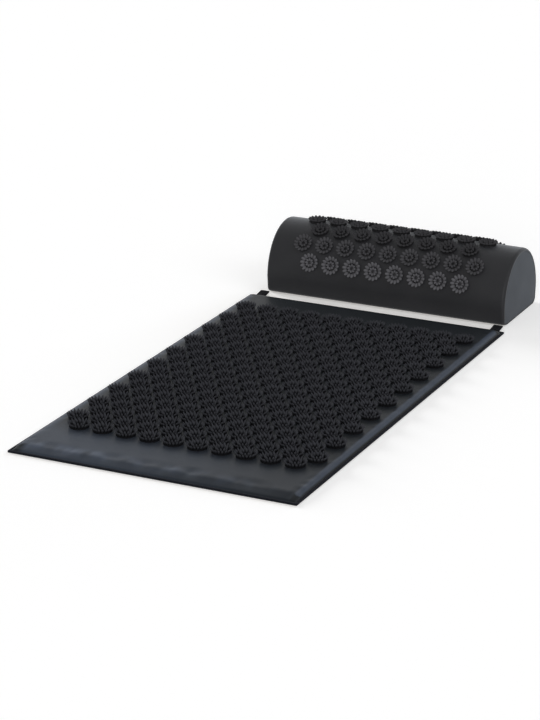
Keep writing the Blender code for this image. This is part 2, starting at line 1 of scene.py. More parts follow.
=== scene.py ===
"""Dresses the packed acupressure mat and its half-round neck pillow in cloth, foam, plastic and webbing.

Lengths are in metres and the axes are the packed frame's: +X runs across the mat, +Y from its foot to its
head, where the pillow stands, and +Z is up. Every piece is made where its CAD solid is and moves with that
solid's body. The tabs are sewn to the mat and bend at their seams.
"""

import math

import bmesh
import bpy
import numpy as np
from bpy.props import FloatProperty, FloatVectorProperty, IntProperty, PointerProperty
from mathutils import Matrix, Vector, noise


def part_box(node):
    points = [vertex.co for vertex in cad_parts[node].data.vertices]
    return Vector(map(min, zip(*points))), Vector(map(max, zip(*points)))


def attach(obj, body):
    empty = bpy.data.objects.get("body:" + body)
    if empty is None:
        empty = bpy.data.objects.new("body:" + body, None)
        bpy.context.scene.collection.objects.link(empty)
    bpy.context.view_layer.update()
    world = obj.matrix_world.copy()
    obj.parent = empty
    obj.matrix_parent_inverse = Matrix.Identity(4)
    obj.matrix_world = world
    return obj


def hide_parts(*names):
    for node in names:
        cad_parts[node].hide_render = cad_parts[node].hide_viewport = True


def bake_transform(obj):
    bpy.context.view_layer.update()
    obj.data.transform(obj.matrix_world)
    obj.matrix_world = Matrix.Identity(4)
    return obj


bl_info = {
    "name": "Acupressure mat and neck pillow",
    "version": (1, 0, 0),
    "blender": (4, 5, 0),
    "location": "View3D > Sidebar > Mat",
    "description": "Sews, moulds and lights the mat and its pillow round the packed frame",
    "category": "Object",
}

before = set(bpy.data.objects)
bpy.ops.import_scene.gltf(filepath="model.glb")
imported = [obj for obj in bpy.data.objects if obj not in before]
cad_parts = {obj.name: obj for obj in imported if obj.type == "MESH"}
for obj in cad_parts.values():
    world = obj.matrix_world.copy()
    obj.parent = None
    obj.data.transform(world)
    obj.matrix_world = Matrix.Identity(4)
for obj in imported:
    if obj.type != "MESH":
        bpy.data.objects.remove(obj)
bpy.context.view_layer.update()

FULL_TURN = math.radians(360.0)
HALF_TURN = math.radians(180.0)
QUARTER_TURN = math.radians(90.0)


def node_size(name):
    """Width, depth and height of a CAD node."""
    low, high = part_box(name)
    return high - low


def node_middle(name):
    """The middle of a CAD node's box."""
    low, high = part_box(name)
    return (low + high) / 2


MAT_SIZE = node_size("mat_edge_binding")
MAT_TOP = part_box("mat_top_panel")[1].z
PILLOW_SIZE = node_size("pillow_wrap_panel")
PILLOW_MIDDLE = node_middle("pillow_wrap_panel")
PILLOW_PLACE = Matrix.Translation((PILLOW_MIDDLE.x, PILLOW_MIDDLE.y, 0.0))

# The mat's edge, from the floor up: binding, lower flange, upper flange, binding
GAP = 0.0003
TAPE = 0.0004
BINDING_WIDTH = 0.0035
FLANGE_SHOWN = 0.0006
FLANGE_REACH = TAPE + GAP
FLANGE_INNER = BINDING_WIDTH + FLANGE_SHOWN

# How far in from its flange the lower cover comes down to the floor
BASE_RISE_LENGTH = 0.004

# The binding's fold, the corners of the mat, and how uneven the tape lies
BINDING_ROLL = 0.0007
BINDING_CORNER = 0.0015
BINDING_STEP = 0.004
BINDING_UNEVEN = 0.00012
BINDING_WAVE = 0.011
BINDING_WAVE_ACROSS = 0.002
BINDING_STITCH_INSET_SHARE = 0.6
BINDING_STITCH_CORNER = 0.001
BINDING_STITCH_CORNER_STEPS = 2
BINDING_STITCH_STEP = 0.05
THREAD_SUNK_SHARE = 0.3

# How the cover climbs from its flange: along the slope and up it
SIDE_ALONG_SHARES = (0.0, 0.16, 0.50, 1.0)
SIDE_UP_SHARES = (0.0, 0.48, 0.86, 1.0)
END_ALONG_SHARES = (0.0, 0.12, 0.80, 1.0)
END_UP_SHARES = (0.0, 0.30, 0.93, 1.0)
EASE_SHARE = 0.05

# How uneven the filled cover is: its side rolls, and the slow swell of its flat
ROLL_WAVE = 0.026
ROLL_WAVE_SHARE = 0.22
SWELL_MARGIN = 0.030
SWELL_LENGTH = 0.07
SWELL_DEPTH = 0.0003

# How far the puckers reach in from their seams, in lengths of the slope there
FOOT_PUCKER_SLOPES = 2.1
SIDE_PUCKER_SLOPES = 2.4

# The blank strip at the foot, and how far the painted reflection on it fades out towards the head and to the
# right
FOOT_BLANK = 0.075
FOOT_FADE = 0.050
FOOT_LEFT = -0.10
FOOT_RIGHT = 0.16
FOOT_FADE_SHARE = 0.8

# Painted highlights on the side rolls, in shares of the side slope: their uneven upper edge, and where they
# start and fade out
ROLL_TOP_SHARE = 1.1
ROLL_WANDER_SHARE = 0.16
ROLL_WANDER_LENGTH = 0.020
ROLL_START_SHARES = (0.08, 0.20)
ROLL_FADE_SHARES = (0.86, 1.1)

# How much further in the left roll fades out, and where both of them end on the foot's slope
LEFT_ROLL_FACTOR = 1.8
ROLL_FOOT_SHARES = (0.6, 0.75)

# Painted highlights on the foot's puckers: their size across and along, the layer of the noise, and their
# share
PAINTED_HIGHLIGHT_SPOTS = (
    (0.024, 0.022, 3.3, 1.0),
    (0.010, 0.020, 7.7, 0.7),
)
PAINTED_HIGHLIGHT_LEVEL = 0.4

# Where and how much these spots fade out to the right
PAINTED_HIGHLIGHT_LEFT = -0.05
PAINTED_HIGHLIGHT_RIGHT = 0.15
PAINTED_HIGHLIGHT_FADE_SHARE = 0.7

# Painted highlight and painted shade on the cloth are tinted bluer than the cloth
PAINTED_LIGHT_TINT = (1.0, 0.98, 1.12)

# Threads of the cloth, ribs of the tapes, and the grain of the plastic and of the plain finishes
WEAVE_PITCH = 0.0008
BINDING_RIB = 0.0008
TAB_RIB = 0.0011
ZIP_TAPE_RIB = 0.0006
PLASTIC_GRAIN_DEPTH = 0.0001
PLAIN_GRAIN_DEPTH = 0.0002

# How much a mesh's steps grow from a fine edge inwards, and how near two corners are one
STEP_GROWTH = 1.06
WELD = 0.00001

# How corners and edges are rounded
ROUND_CORNER_STEPS = 5
BEVEL_LIMIT = math.radians(60.0)

# A stitch or a zip tooth: a ball one unit across, which its sizes then scale
GRAIN_SIDES = 6
GRAIN_RINGS = 5
GRAIN_RADIUS = 0.5

# Rosette rows
MAT_ROWS = sorted(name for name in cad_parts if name.startswith("mat_rosette_row_"))
PILLOW_ROWS = sorted(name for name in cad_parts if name.startswith("pillow_rosette_row_"))
ROSETTE_PITCH = 0.0367
ROW_PITCH = 0.0296
PILLOW_TOP_ROW_COUNT = 9

# A rosette's disc, and the powers with which its petals round off and lean out towards their tips
DISC_SUNK = 0.0006
DISC_DISH = 0.0002
DISC_SIDES = 12
WELL_SHARE = 0.8
PETAL_ROUNDING = 1.8
PETAL_LEANING = 1.25

# Pillow section: the arch stands on a short tucked wall that turns in to the base seam
PILLOW_WAIST = 0.0277
PILLOW_ZIP_TOP = 0.0240
PILLOW_ZIP_BOTTOM = 0.0088
PILLOW_TUCK_TOP = 0.0003
PILLOW_TUCK_BOTTOM = 0.0018
PILLOW_CORNER = 0.0120
PILLOW_HEM = 0.0030
PILLOW_HALF = PILLOW_SIZE.y / 2
PILLOW_ARCH = PILLOW_SIZE.z - PILLOW_WAIST

# Steps in which the section is made, and the finer ones in which its arch is measured
ARCH_STEPS = 34
WALL_STEPS = 4
CORNER_STEPS = 7
MEASURED_STEPS = 4000

# The wrap's mesh near its ends, the puckers beside their seams, and its slow unevenness
WRAP_FINE = 0.014
WRAP_FINE_STEP = 0.0014
WRAP_TURN_STEPS = 6
SEAM_REACH = 0.010
SEAM_PUCKER_LENGTH = 0.006
WRAP_SOFT_DEPTH = 0.0003
WRAP_SOFT_ACROSS = 0.055
WRAP_SOFT_ALONG = 0.050

# The base and the ends, from their seams to their middles
BASE_STEP = 0.012
BASE_RING_SHARES = (1.0, 0.96, 0.7, 0.35)
END_RING_SHARES = (1.0, 0.985, 0.965, 0.94, 0.90, 0.84, 0.75, 0.60, 0.42, 0.22)
END_SEAM_DEPTH = 0.0007
END_SEAM_SHARE = 0.018
END_SOFT_DEPTH = 0.0003
END_SOFT_LENGTH = 0.03

# Zip: its coil, the tapes beside it, and the teeth, whose shares are of their pitch and of the coil's half
ZIP_LENGTH = 0.280
ZIP_COIL_HALF = 0.0017
ZIP_COIL_SHORT = 0.004
ZIP_TAPE_WIDTH = 0.0024
ZIP_TAPE = 0.0005
ZIP_STEPS_ALONG = 40
ZIP_STEPS_ACROSS = 4
TOOTH_HEIGHT = 0.0015
TOOTH_LENGTH_SHARE = 0.85
TOOTH_SHIFT_SHARE = 0.15
TOOTH_WIDTH = 1.7 * ZIP_COIL_HALF
TOOTH_LEVEL = 2.6 * GAP

# Tabs: where they are sewn on, how far from the seam the second of their two points lies, and their box of
# stitches
TAB_INSET = 0.017
TAB_TILT = math.radians(8.0)
TAB_BEND = 0.006
TAB_BOW = 0.0002
TAB_STEPS = 14
TAB_FOLD_STEPS = 8
TAB_COLUMNS = 8
TAB_STITCH_INSET = 0.002
TAB_STITCH_START = 0.0015
TAB_STITCH_END = 0.0055

# How pale the pillow's rosettes are painted, from the row on its ridge to the lowest one: painted light and
# shade for each row
PILLOW_ROW_PAINTED_SHADES = (0.42, 0.36, 0.58, 1.0)

# The lamps that are kept out of reflections, because the satin cloth would glare when seen against them
UNMIRRORED_LAMPS = ("Back lamp", "Rim lamp")

# Half the floor's width, how far off the lamps hang, and how near the camera still sees
FLOOR_HALF = 4.0
LAMP_DISTANCE = 2.0
CLIP_START = 0.05

# Lamps: name, azimuth from straight in front of the foot, elevation, softness in degrees, and colour
LAMPS = (
    ("Side lamp", 72.0, 35.0, 40.0, (0.92, 0.96, 1.0)),
    ("Front lamp", 18.0, 18.0, 30.0, (1.0, 1.0, 1.0)),
    ("Back lamp", 250.0, 13.0, 20.0, (1.0, 1.0, 1.0)),
    ("Rim lamp", 172.0, 14.0, 25.0, (0.82, 0.90, 1.0)),
)


class MatCover(bpy.types.PropertyGroup):
    """Sizes of the mat's sewn cover."""

    cloth: FloatProperty(name="Cloth", description="Thickness of the cloth", default=0.0006, unit="LENGTH")
    side_slope: FloatProperty(
        name="Side roll", description="Width of the roll down each long side", default=0.008, unit="LENGTH"
    )
    head_slope: FloatProperty(
        name="Head slope", description="Length of the slope at the head", default=0.012, unit="LENGTH"
    )
    foot_slope: FloatProperty(
        name="Foot slope", description="Length of the slope at the foot", default=0.020, unit="LENGTH"
    )
    pucker_depth: FloatProperty(
        name="Puckers", description="Depth of the puckers above the foot seam", default=0.0020, unit="LENGTH"
    )
    pucker_length: FloatProperty(
        name="Pucker length", description="Distance between two puckers", default=0.024, unit="LENGTH"
    )
    # Painted highlight: the side rolls are painted paler to stand in for light falling on them
    roll_painted_highlight: FloatProperty(
        name="Rubbed rolls", description="How much paler the side rolls are than the flat", default=4.8
    )
    # Painted shade: the cloth is painted darker where it dives to its seam, standing in for the shade there
    seam_painted_shade: FloatProperty(
        name="Dark seams", description="How much darker the cloth is where it dives to its seam", default=0.6
    )
    # Painted highlight: pale spots are painted on the foot's puckers, where light catches their crests
    foot_painted_highlight: FloatProperty(
        name="Rubbed foot", description="How much paler the foot's puckers are than the flat", default=4.0
    )
    # Painted reflection: the blank cloth at the foot is painted paler, fading out to the right
    foot_painted_reflection: FloatProperty(
        name="Faded foot", description="How much paler the blank cloth at the foot is", default=3.2
    )
    fine_step: FloatProperty(
        name="Fine step", description="Spacing of the cover's mesh at its edges", default=0.0009,
        unit="LENGTH",
    )
    wide_step: FloatProperty(
        name="Wide step", description="Spacing of the cover's mesh in its middle", default=0.0036,
        unit="LENGTH",
    )
    colour: FloatVectorProperty(
        name="Cover", description="Colour of the mat's cover", default=(0.0082, 0.0102, 0.0124),
        subtype="COLOR", min=0.0, max=1.0,
    )
    binding: FloatVectorProperty(
        name="Binding", description="Colour of the edge binding", default=(0.009, 0.010, 0.014),
        subtype="COLOR", min=0.0, max=1.0,
    )


# Lengths of a rosette: name, label, what it is, then its value on the mat and on the pillow
ROSETTE_LENGTHS = (
    ("disc_radius", "Disc", "Radius of the disc under the petals", 0.0140, 0.0136),
    ("disc_height", "Disc height", "Thickness of the disc", 0.0010, 0.0010),
    ("hole_radius", "Hole", "Radius of the hole in the middle", 0.0017, 0.0017),
    ("outer_radius", "Outer ring", "Radius of the outer ring's roots", 0.0115, 0.0094),
    ("outer_lean", "Outer lean", "How far the outer tips lean out", 0.0047, 0.0050),
    ("outer_height", "Outer height", "Height of the outer petals", 0.0066, 0.0050),
    ("outer_root", "Outer root", "Half an outer petal's thickness at its root", 0.0015, 0.0028),
    ("outer_tip", "Outer tip", "Half an outer petal's thickness at its tip", 0.0003, 0.0004),
    ("middle_radius", "Middle ring", "Radius of the middle ring's roots", 0.0064, 0.0042),
    ("middle_lean", "Middle lean", "How far the middle tips lean out", 0.0020, 0.0014),
    ("middle_height", "Middle height", "Height of the middle petals", 0.0072, 0.0052),
    ("middle_root", "Middle root", "Half a middle petal's thickness at its root", 0.0015, 0.0023),
    ("middle_tip", "Middle tip", "Half a middle petal's thickness at its tip", 0.0003, 0.0004),
)

# Its plain numbers, in the same order
ROSETTE_NUMBERS = (
    ("outer_width", "Outer width", "Width of an outer petal for its thickness", 1.20, 0.98),
    ("middle_width", "Middle width", "Width of a middle petal for its thickness", 1.20, 0.82),
    ("belly", "Belly", "How much a petal swells half-way up", 0.50, 0.65),
    ("wander", "Wander", "How far a rosette may be turned either way, in radians", 0.03, 0.03),
)

# Its counts, in the same order
ROSETTE_COUNTS = (
    ("outer_count", "Outer petals", "Petals in the outer ring", 18, 14),
    ("middle_count", "Middle petals", "Petals in the middle ring", 10, 8),
    ("sides", "Petal sides", "Sides of a petal", 5, 7),
    ("levels", "Petal levels", "Steps from a petal's root to its tip", 2, 3),
    ("seed", "Seed", "Seed of the rosettes' turning", 7, 7),
)


def rosette_group(name, note, column, colour):
    """A property group with the sizes of the rosettes on the mat or on the pillow."""
    fields = {}
    for key, label, about, *values in ROSETTE_LENGTHS:
        fields[key] = FloatProperty(name=label, description=about, default=values[column], unit="LENGTH")
    for key, label, about, *values in ROSETTE_NUMBERS:
        fields[key] = FloatProperty(name=label, description=about, default=values[column])
    for key, label, about, *values in ROSETTE_COUNTS:
        fields[key] = IntProperty(name=label, description=about, default=values[column])
    fields["colour"] = FloatVectorProperty(
        name="Plastic", description="Colour of the plastic", default=colour, subtype="COLOR", min=0.0, max=1.0
    )
    return type(name, (bpy.types.PropertyGroup,), {"__doc__": note, "__annotations__": fields})


MatRosettes = rosette_group(
    "MatRosettes", "Sizes of the rosettes on the mat.", 0, (0.042, 0.043, 0.049)
)
PillowRosettes = rosette_group(
    "PillowRosettes", "Sizes of the rosettes on the pillow.", 1, (0.112, 0.110, 0.118)
)


class PillowCover(bpy.types.PropertyGroup):
    """Sizes of the pillow's sewn cover."""

    end_radius: FloatProperty(
        name="End roll", description="Radius with which the wrap turns in at its ends", default=0.005,
        unit="LENGTH",
    )
    end_crown: FloatProperty(
        name="End crown", description="How far an end panel bulges", default=0.0018, unit="LENGTH"
    )
    seam_pucker: FloatProperty(
        name="Seam puckers", description="Depth of the puckers beside the end seams", default=0.0003,
        unit="LENGTH",
    )
    step: FloatProperty(name="Step", description="Spacing of the wrap's mesh", default=0.0034, unit="LENGTH")
    wrap: FloatVectorProperty(
        name="Wrap", description="Colour of the wrap", default=(0.027, 0.027, 0.029),
        subtype="COLOR", min=0.0, max=1.0,
    )
    # Paler than the wrap: partly the end panels' own cloth, partly painted light standing in for light from
    # the right
    ends: FloatVectorProperty(
        name="Ends", description="Colour of the end panels", default=(0.098, 0.104, 0.114),
        subtype="COLOR", min=0.0, max=1.0,
    )


class Trimmings(bpy.types.PropertyGroup):
    """Sizes and colours of the thread, the webbing and the zip."""

    stitch_pitch: FloatProperty(
        name="Stitch pitch", description="Distance from one stitch to the next", default=0.0032, unit="LENGTH"
    )
    stitch_length: FloatProperty(
        name="Stitch", description="Length of a stitch", default=0.0024, unit="LENGTH"
    )
    thread: FloatProperty(name="Thread", description="Thickness of the thread", default=0.0004, unit="LENGTH")
    tab_width: FloatProperty(name="Tab width", description="Width of a tab", default=0.0145, unit="LENGTH")
    tab_length: FloatProperty(name="Tab length", description="Length of a tab", default=0.019, unit="LENGTH")
    webbing: FloatProperty(
        name="Webbing", description="Thickness of the webbing", default=0.0012, unit="LENGTH"
    )
    coil_pitch: FloatProperty(
        name="Coil pitch", description="Distance from one zip tooth to the next", default=0.0014,
        unit="LENGTH",
    )
    thread_colour: FloatVectorProperty(
        name="Thread", description="Colour of the thread", default=(0.020, 0.021, 0.025),
        subtype="COLOR", min=0.0, max=1.0,
    )
    webbing_colour: FloatVectorProperty(
        name="Webbing", description="Colour of the tabs", default=(0.008, 0.008, 0.010),
        subtype="COLOR", min=0.0, max=1.0,
    )
    zip_colour: FloatVectorProperty(
        name="Zip", description="Colour of the zip tapes", default=(0.012, 0.012, 0.014),
        subtype="COLOR", min=0.0, max=1.0,
    )
    metal_colour: FloatVectorProperty(
        name="Slider", description="Colour of the zip slider and its pull", default=(0.09, 0.09, 0.10),
        subtype="COLOR", min=0.0, max=1.0,
    )
    foam_colour: FloatVectorProperty(
        name="Foam", description="Colour of the foam", default=(0.55, 0.55, 0.52),
        subtype="COLOR", min=0.0, max=1.0,
    )


class Studio(bpy.types.PropertyGroup):
    """The camera, the lamps and the floor."""

    azimuth: FloatProperty(
        name="Azimuth", description="Turn of the camera from straight in front of the foot",
        default=math.radians(25.57), subtype="ANGLE", unit="ROTATION",
    )
    elevation: FloatProperty(
        name="Elevation", description="Height of the camera over the floor", default=math.radians(19.65),
        subtype="ANGLE", unit="ROTATION",
    )
    distance: FloatProperty(
        name="Distance", description="From the camera to what it looks at", default=3.822, unit="LENGTH"
    )
    lens: FloatProperty(name="Lens", description="Focal length", default=129.0, unit="CAMERA")
    target: FloatVectorProperty(
        name="Target", description="The point that the camera looks at", default=(-0.0429, 0.0855, 0.0110),
        subtype="TRANSLATION", unit="LENGTH",
    )
    sky: FloatProperty(name="Sky", description="Strength of the even light from all round", default=0.33)
    side: FloatProperty(name="Side lamp", description="Strength of the soft lamp at the right", default=0.45)
    front: FloatProperty(name="Front lamp", description="Strength of the low lamp in front", default=1.3)
    back: FloatProperty(name="Back lamp", description="Strength of the lamp behind at the left", default=2.6)
    rim: FloatProperty(name="Rim lamp", description="Strength of the lamp straight behind", default=1.6)
    floor_white: FloatProperty(
        name="Open floor", description="How bright the floor looks where nothing shades it", default=1.0
    )
    floor: FloatVectorProperty(
        name="Floor", description="Colour of the floor", default=(0.86, 0.86, 0.86),
        subtype="COLOR", min=0.0, max=1.0,
    )


def share_between(value, low, high):
    """Nought up to the low bound, one from the high bound on, and even between them."""
    return min(max((value - low) / (high - low), 0.0), 1.0)


def rise_share(along, along_shares, up_shares):
    """How much of its full rise a slope has reached at this share of its length."""
    return float(np.interp(along, along_shares, up_shares))


def eased_share(along, along_shares, up_shares):
    """The same rise with its bends rounded off."""
    spread = (-1.0, -0.5, 0.0, 0.5, 1.0)
    shares = [rise_share(along + step * EASE_SHARE, along_shares, up_shares) for step in spread]
    return sum(shares) / len(shares)


def bell(share):
    """Nought at both ends and one in the middle."""
    inside = min(max(share, 0.0), 1.0)
    return math.sin(HALF_TURN * inside) ** 2


def ripple(*coordinates):
    """Smooth noise from -1 to 1 at a point."""
    return noise.noise(Vector(coordinates))


def graded_lines(start, end, fine_start, fine_end, fine_step, wide_step):
    """Distances from start to end, close together within the fine lengths at both ends."""
    def walk(length):
        lines = [0.0]
        step = fine_step
        while lines[-1] < length:
            lines.append(lines[-1] + step)
            step = min(step * STEP_GROWTH, wide_step)
        return lines

    first = [start + line for line in walk(fine_start)]
    last = [end - line for line in reversed(walk(fine_end))]
    count = max(int(math.ceil((last[0] - first[-1]) / wide_step)), 1)
    middle = [first[-1] + (last[0] - first[-1]) * step / count for step in range(1, count)]
    return first + middle + last


def sheet_mesh(name, across, along, place):
    """A sheet of quads: columns at the distances across, rows at those along, corners where place says.

    Its UV map holds the distances in metres, so that a weave keeps its scale.
    """
    columns, rows = len(across), len(along)
    corners = [tuple(place(i, j)) for i in range(columns) for j in range(rows)]
    first = [i * rows + j for i in range(columns - 1) for j in range(rows - 1)]
    faces = [(at, at + rows, at + rows + 1, at + 1) for at in first]
    mesh = bpy.data.meshes.new(name)
    mesh.from_pydata(corners, [], faces)
    at_corner = np.empty(len(mesh.loops), dtype=np.int32)
    mesh.loops.foreach_get("vertex_index", at_corner)
    column, row = np.divmod(at_corner, rows)
    flat = np.stack([np.array(across)[column], np.array(along)[row]], axis=1)
    mesh.uv_layers.new(name="cloth").data.foreach_set("uv", flat.ravel())
    return mesh


def walked(points):
    """Distances along a line of points, from its first."""
    distances = [0.0]
    for before, here in zip(points, points[1:]):
        distances.append(distances[-1] + (Vector(here) - Vector(before)).length)
    return distances


def piece_from(name, mesh, smooth=True):
    """An object at the origin that holds a mesh."""
    piece = bpy.data.objects.new(name, mesh)
    bpy.context.scene.collection.objects.link(piece)
    if smooth:
        mesh.shade_smooth()
    return piece


def thicken(piece, thickness, offset):
    """Gives an open sheet its cloth, offset 1 along its normals, -1 against them, 0 about it."""
    wall = piece.modifiers.new("Cloth", "SOLIDIFY")
    wall.thickness = thickness
    wall.offset = offset
    wall.use_even_offset = False


def hand_over(piece, body, slot, material, replaced=(), bend=None):
    """Gives a piece its finish and its body, and hides the CAD nodes that it stands for.

    bend holds the two points between which a piece sewn to the mat bends over to its own body.
    """
    piece.data.materials.clear()
    piece.data.materials.append(material)
    if bend:
        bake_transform(piece)
    else:
        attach(piece, body)
    if replaced:
        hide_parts(*replaced)
    return piece


def add(tree, kind, inputs=None, **settings):
    """A node in a tree, with its settings, its values and its links."""
    made = tree.nodes.new(kind)
    for name, value in settings.items():
        setattr(made, name, value)
    for key, value in (inputs or {}).items():
        socket = made.inputs[key]
        if isinstance(value, bpy.types.NodeSocket):
            tree.links.new(value, socket)
        else:
            socket.default_value = value
    return made


def maths(tree, kind, *values):
    """The result of a math node on values or sockets."""
    return add(tree, "ShaderNodeMath", dict(enumerate(values)), operation=kind).outputs[0]


def product(tree, first, *others):
    """Values or sockets multiplied together."""
    for other in others:
        first = maths(tree, "MULTIPLY", first, other)
    return first


def wave(tree, along, turns):
    """A sine along a coordinate, with this many radians for each unit."""
    return maths(tree, "SINE", product(tree, along, turns))


def vector_of(tree, x=0.0, y=0.0, z=0.0):
    """A vector from three values or sockets."""
    return add(tree, "ShaderNodeCombineXYZ", {"X": x, "Y": y, "Z": z}).outputs[0]


def parts_of(tree, vector):
    """The outputs that hold a vector's X, Y and Z."""
    return add(tree, "ShaderNodeSeparateXYZ", {0: vector}).outputs


def make_material(name, colour, values):
    """A material, its tree and its Principled shader, with the values of the shader's sockets."""
    material = bpy.data.materials.new(name)
    material.diffuse_color = (*colour, 1.0)
    material.use_nodes = True
    tree = material.node_tree
    shader = tree.nodes["Principled BSDF"]
    for socket, value in values.items():
        shader.inputs[socket].default_value = value
    return material, tree, shader


def on_the_cloth(tree):
    """The distances in metres along the threads, from the piece's UV map."""
    return parts_of(tree, add(tree, "ShaderNodeUVMap", uv_map="cloth").outputs["UV"])


def in_the_solid(tree):
    """Where a point of the piece lies, in the piece's own coordinates."""
    return add(tree, "ShaderNodeTexCoord").outputs["Object"]


def stored_value(tree, name):
    """A number that the piece's mesh holds at each corner."""
    return add(tree, "ShaderNodeAttribute", attribute_name=name).outputs["Fac"]


def tinted(tree, colour, shade):
    """A colour made darker or paler by a shade about one."""
    return add(
        tree, "ShaderNodeVectorMath", {0: tuple(colour), "Scale": shade}, operation="SCALE"
    ).outputs["Vector"]


def emboss(tree, shader, height, depth, strength):
    """Raises the surface by a height from 0 to 1 that stands this deep."""
    raised = add(
        tree, "ShaderNodeBump", {"Strength": strength, "Distance": depth, "Height": height}
    ).outputs["Normal"]
    tree.links.new(raised, shader.inputs["Normal"])


def cloudy(tree, coordinates, scale, low, high, detail=2.0):
    """A slowly changing number between two bounds."""
    cloud = add(
        tree, "ShaderNodeTexNoise", {"Vector": coordinates, "Scale": scale, "Detail": detail}
    ).outputs["Fac"]
    return add(
        tree, "ShaderNodeMapRange",
        {"Value": cloud, "From Min": 0.3, "From Max": 0.7, "To Min": low, "To Max": high},
    ).outputs["Result"]


def weave_height(tree):
    """Plain weave: threads over and under each other, from 0 in the gaps to 1 on the crowns."""
    flat = on_the_cloth(tree)
    turns = HALF_TURN / WEAVE_PITCH
    over = product(tree, wave(tree, flat["X"], turns), wave(tree, flat["Y"], turns))
    return maths(tree, "MULTIPLY_ADD", over, 0.5, 0.5)


def cloth_material(name, colour, roughness, sheen, specular):
    """Woven cloth: threads, a slow drift of shade, fine lint and a satin sheen."""
    material, tree, shader = make_material(name, colour, {
        "Roughness": roughness,
        "Specular IOR Level": specular,
        "Sheen Weight": sheen,
        "Sheen Roughness": 0.45,
        "Sheen Tint": (0.86, 0.92, 1.0, 1.0),
    })
    solid = in_the_solid(tree)
    threads = weave_height(tree)
    drift = cloudy(tree, solid, 14.0, 0.90, 1.10, detail=3.0)
    lint = cloudy(tree, solid, 900.0, 0.93, 1.07)
    # Painted shade: the gaps between the threads are painted darker and their crowns paler
    painted_weave_shade = add(
        tree, "ShaderNodeMapRange", {"Value": threads, "To Min": 0.80, "To Max": 1.12}
    ).outputs["Result"]
    shade = product(tree, drift, lint, painted_weave_shade)
    # Painted highlight and painted shade from the mesh's stored amount, tinted bluer and added to the cloth's
    # colour
    painted_tone = [value * share for value, share in zip(colour, PAINTED_LIGHT_TINT)]
    extra = tinted(tree, painted_tone, product(tree, shade, stored_value(tree, "paler")))
    both = add(
        tree, "ShaderNodeVectorMath", {0: tinted(tree, colour, shade), 1: extra}, operation="ADD"
    ).outputs["Vector"]
    tree.links.new(both, shader.inputs["Base Color"])
    emboss(tree, shader, threads, depth=WEAVE_PITCH / 3, strength=0.25)
    return material


def ribbed_material(name, colour, rib, roughness):
    """Webbing or tape: ribs along its length, crossed by fine picks."""
    material, tree, shader = make_material(name, colour, {
        "Roughness": roughness,
        "Specular IOR Level": 0.05,
        "Sheen Weight": 0.01,
    })
    flat = on_the_cloth(tree)
    ribs = wave(tree, flat["X"], FULL_TURN / rib)
    picks = wave(tree, flat["Y"], FULL_TURN / (rib * 0.7))
    height = maths(tree, "MULTIPLY_ADD", picks, 0.35, ribs)
    lint = cloudy(tree, in_the_solid(tree), 500.0, 0.82, 1.18)
    # Painted shade: the dips between the ribs are painted darker
    shade = product(tree, lint, maths(tree, "MULTIPLY_ADD", height, 0.16, 1.0))
    tree.links.new(tinted(tree, colour, shade), shader.inputs["Base Color"])
    emboss(tree, shader, height, depth=rib / 4, strength=0.5)
    return material


def rosette_material(name, colour, painted_root_shade, risen_share):
    """Moulded plastic, of another shade at the roots of its petals and from row to row."""
    material, tree, shader = make_material(name, colour, {"Specular IOR Level": 0.02})
    solid = in_the_solid(tree)
    # Painted shade: the petals are painted darker towards their roots and on the disc, where shade falls
    # between them
    painted_tone = add(
        tree, "ShaderNodeMapRange",
        {
            "Value": stored_value(tree, "up_the_petal"),
            "From Min": 0.0,
            "From Max": risen_share,
            "To Min": painted_root_shade,
            "To Max": 1.0,
        },
    ).outputs["Result"]
    drift = cloudy(tree, solid, 60.0, 0.90, 1.10)
    shade = product(tree, painted_tone, drift, stored_value(tree, "row_shade"))
    tree.links.new(tinted(tree, colour, shade), shader.inputs["Base Color"])
    grain = cloudy(tree, solid, 1800.0, 0.0, 1.0)
    emboss(tree, shader, grain, depth=PLASTIC_GRAIN_DEPTH, strength=0.12)
    tree.links.new(cloudy(tree, solid, 240.0, 0.60, 0.70), shader.inputs["Roughness"])
    return material


def plain_material(name, colour, roughness, metallic=0.0, specular=0.4, grain_scale=700.0):
    """Nylon, metal, thread or foam with a fine grain of its own."""
    material, tree, shader = make_material(name, colour, {
        "Roughness": roughness,
        "Metallic": metallic,
        "Specular IOR Level": specular,
    })
    drift = cloudy(tree, in_the_solid(tree), grain_scale, 0.86, 1.14)
    tree.links.new(tinted(tree, colour, drift), shader.inputs["Base Color"])
    emboss(tree, shader, drift, depth=PLAIN_GRAIN_DEPTH, strength=0.15)
    return material


def new_tree(name, inputs):
    """A geometry tree with named inputs, and its two ends."""
    tree = bpy.data.node_groups.new(name, "GeometryNodeTree")
    tree.interface.new_socket(name="Geometry", in_out="INPUT", socket_type="NodeSocketGeometry")
    for label, kind, default in inputs:
        socket = tree.interface.new_socket(name=label, in_out="INPUT", socket_type=kind)
        if default is not None:
            socket.default_value = default
    tree.interface.new_socket(name="Geometry", in_out="OUTPUT", socket_type="NodeSocketGeometry")
    entry = tree.nodes.new("NodeGroupInput")
    leave = tree.nodes.new("NodeGroupOutput")
    return tree, entry, leave


def grow(name, source, tree, values):
    """Runs a tree on a source mesh and returns a plain piece with the result."""
    seed = piece_from(name + "_source", source, smooth=False)
    modifier = seed.modifiers.new(tree.name, "NODES")
    modifier.node_group = tree
    for item in tree.interface.items_tree:
        if item.item_type == "SOCKET" and item.in_out == "INPUT" and item.name in values:
            modifier[item.identifier] = values[item.name]
    bpy.context.view_layer.update()
    graph = bpy.context.evaluated_depsgraph_get()
    mesh = bpy.data.meshes.new_from_object(seed.evaluated_get(graph), depsgraph=graph)
    mesh.name = name
    bpy.data.objects.remove(seed, do_unlink=True)
    if not mesh.polygons:
        raise RuntimeError(f"{name} came out empty")
    return piece_from(name, mesh, smooth=False)


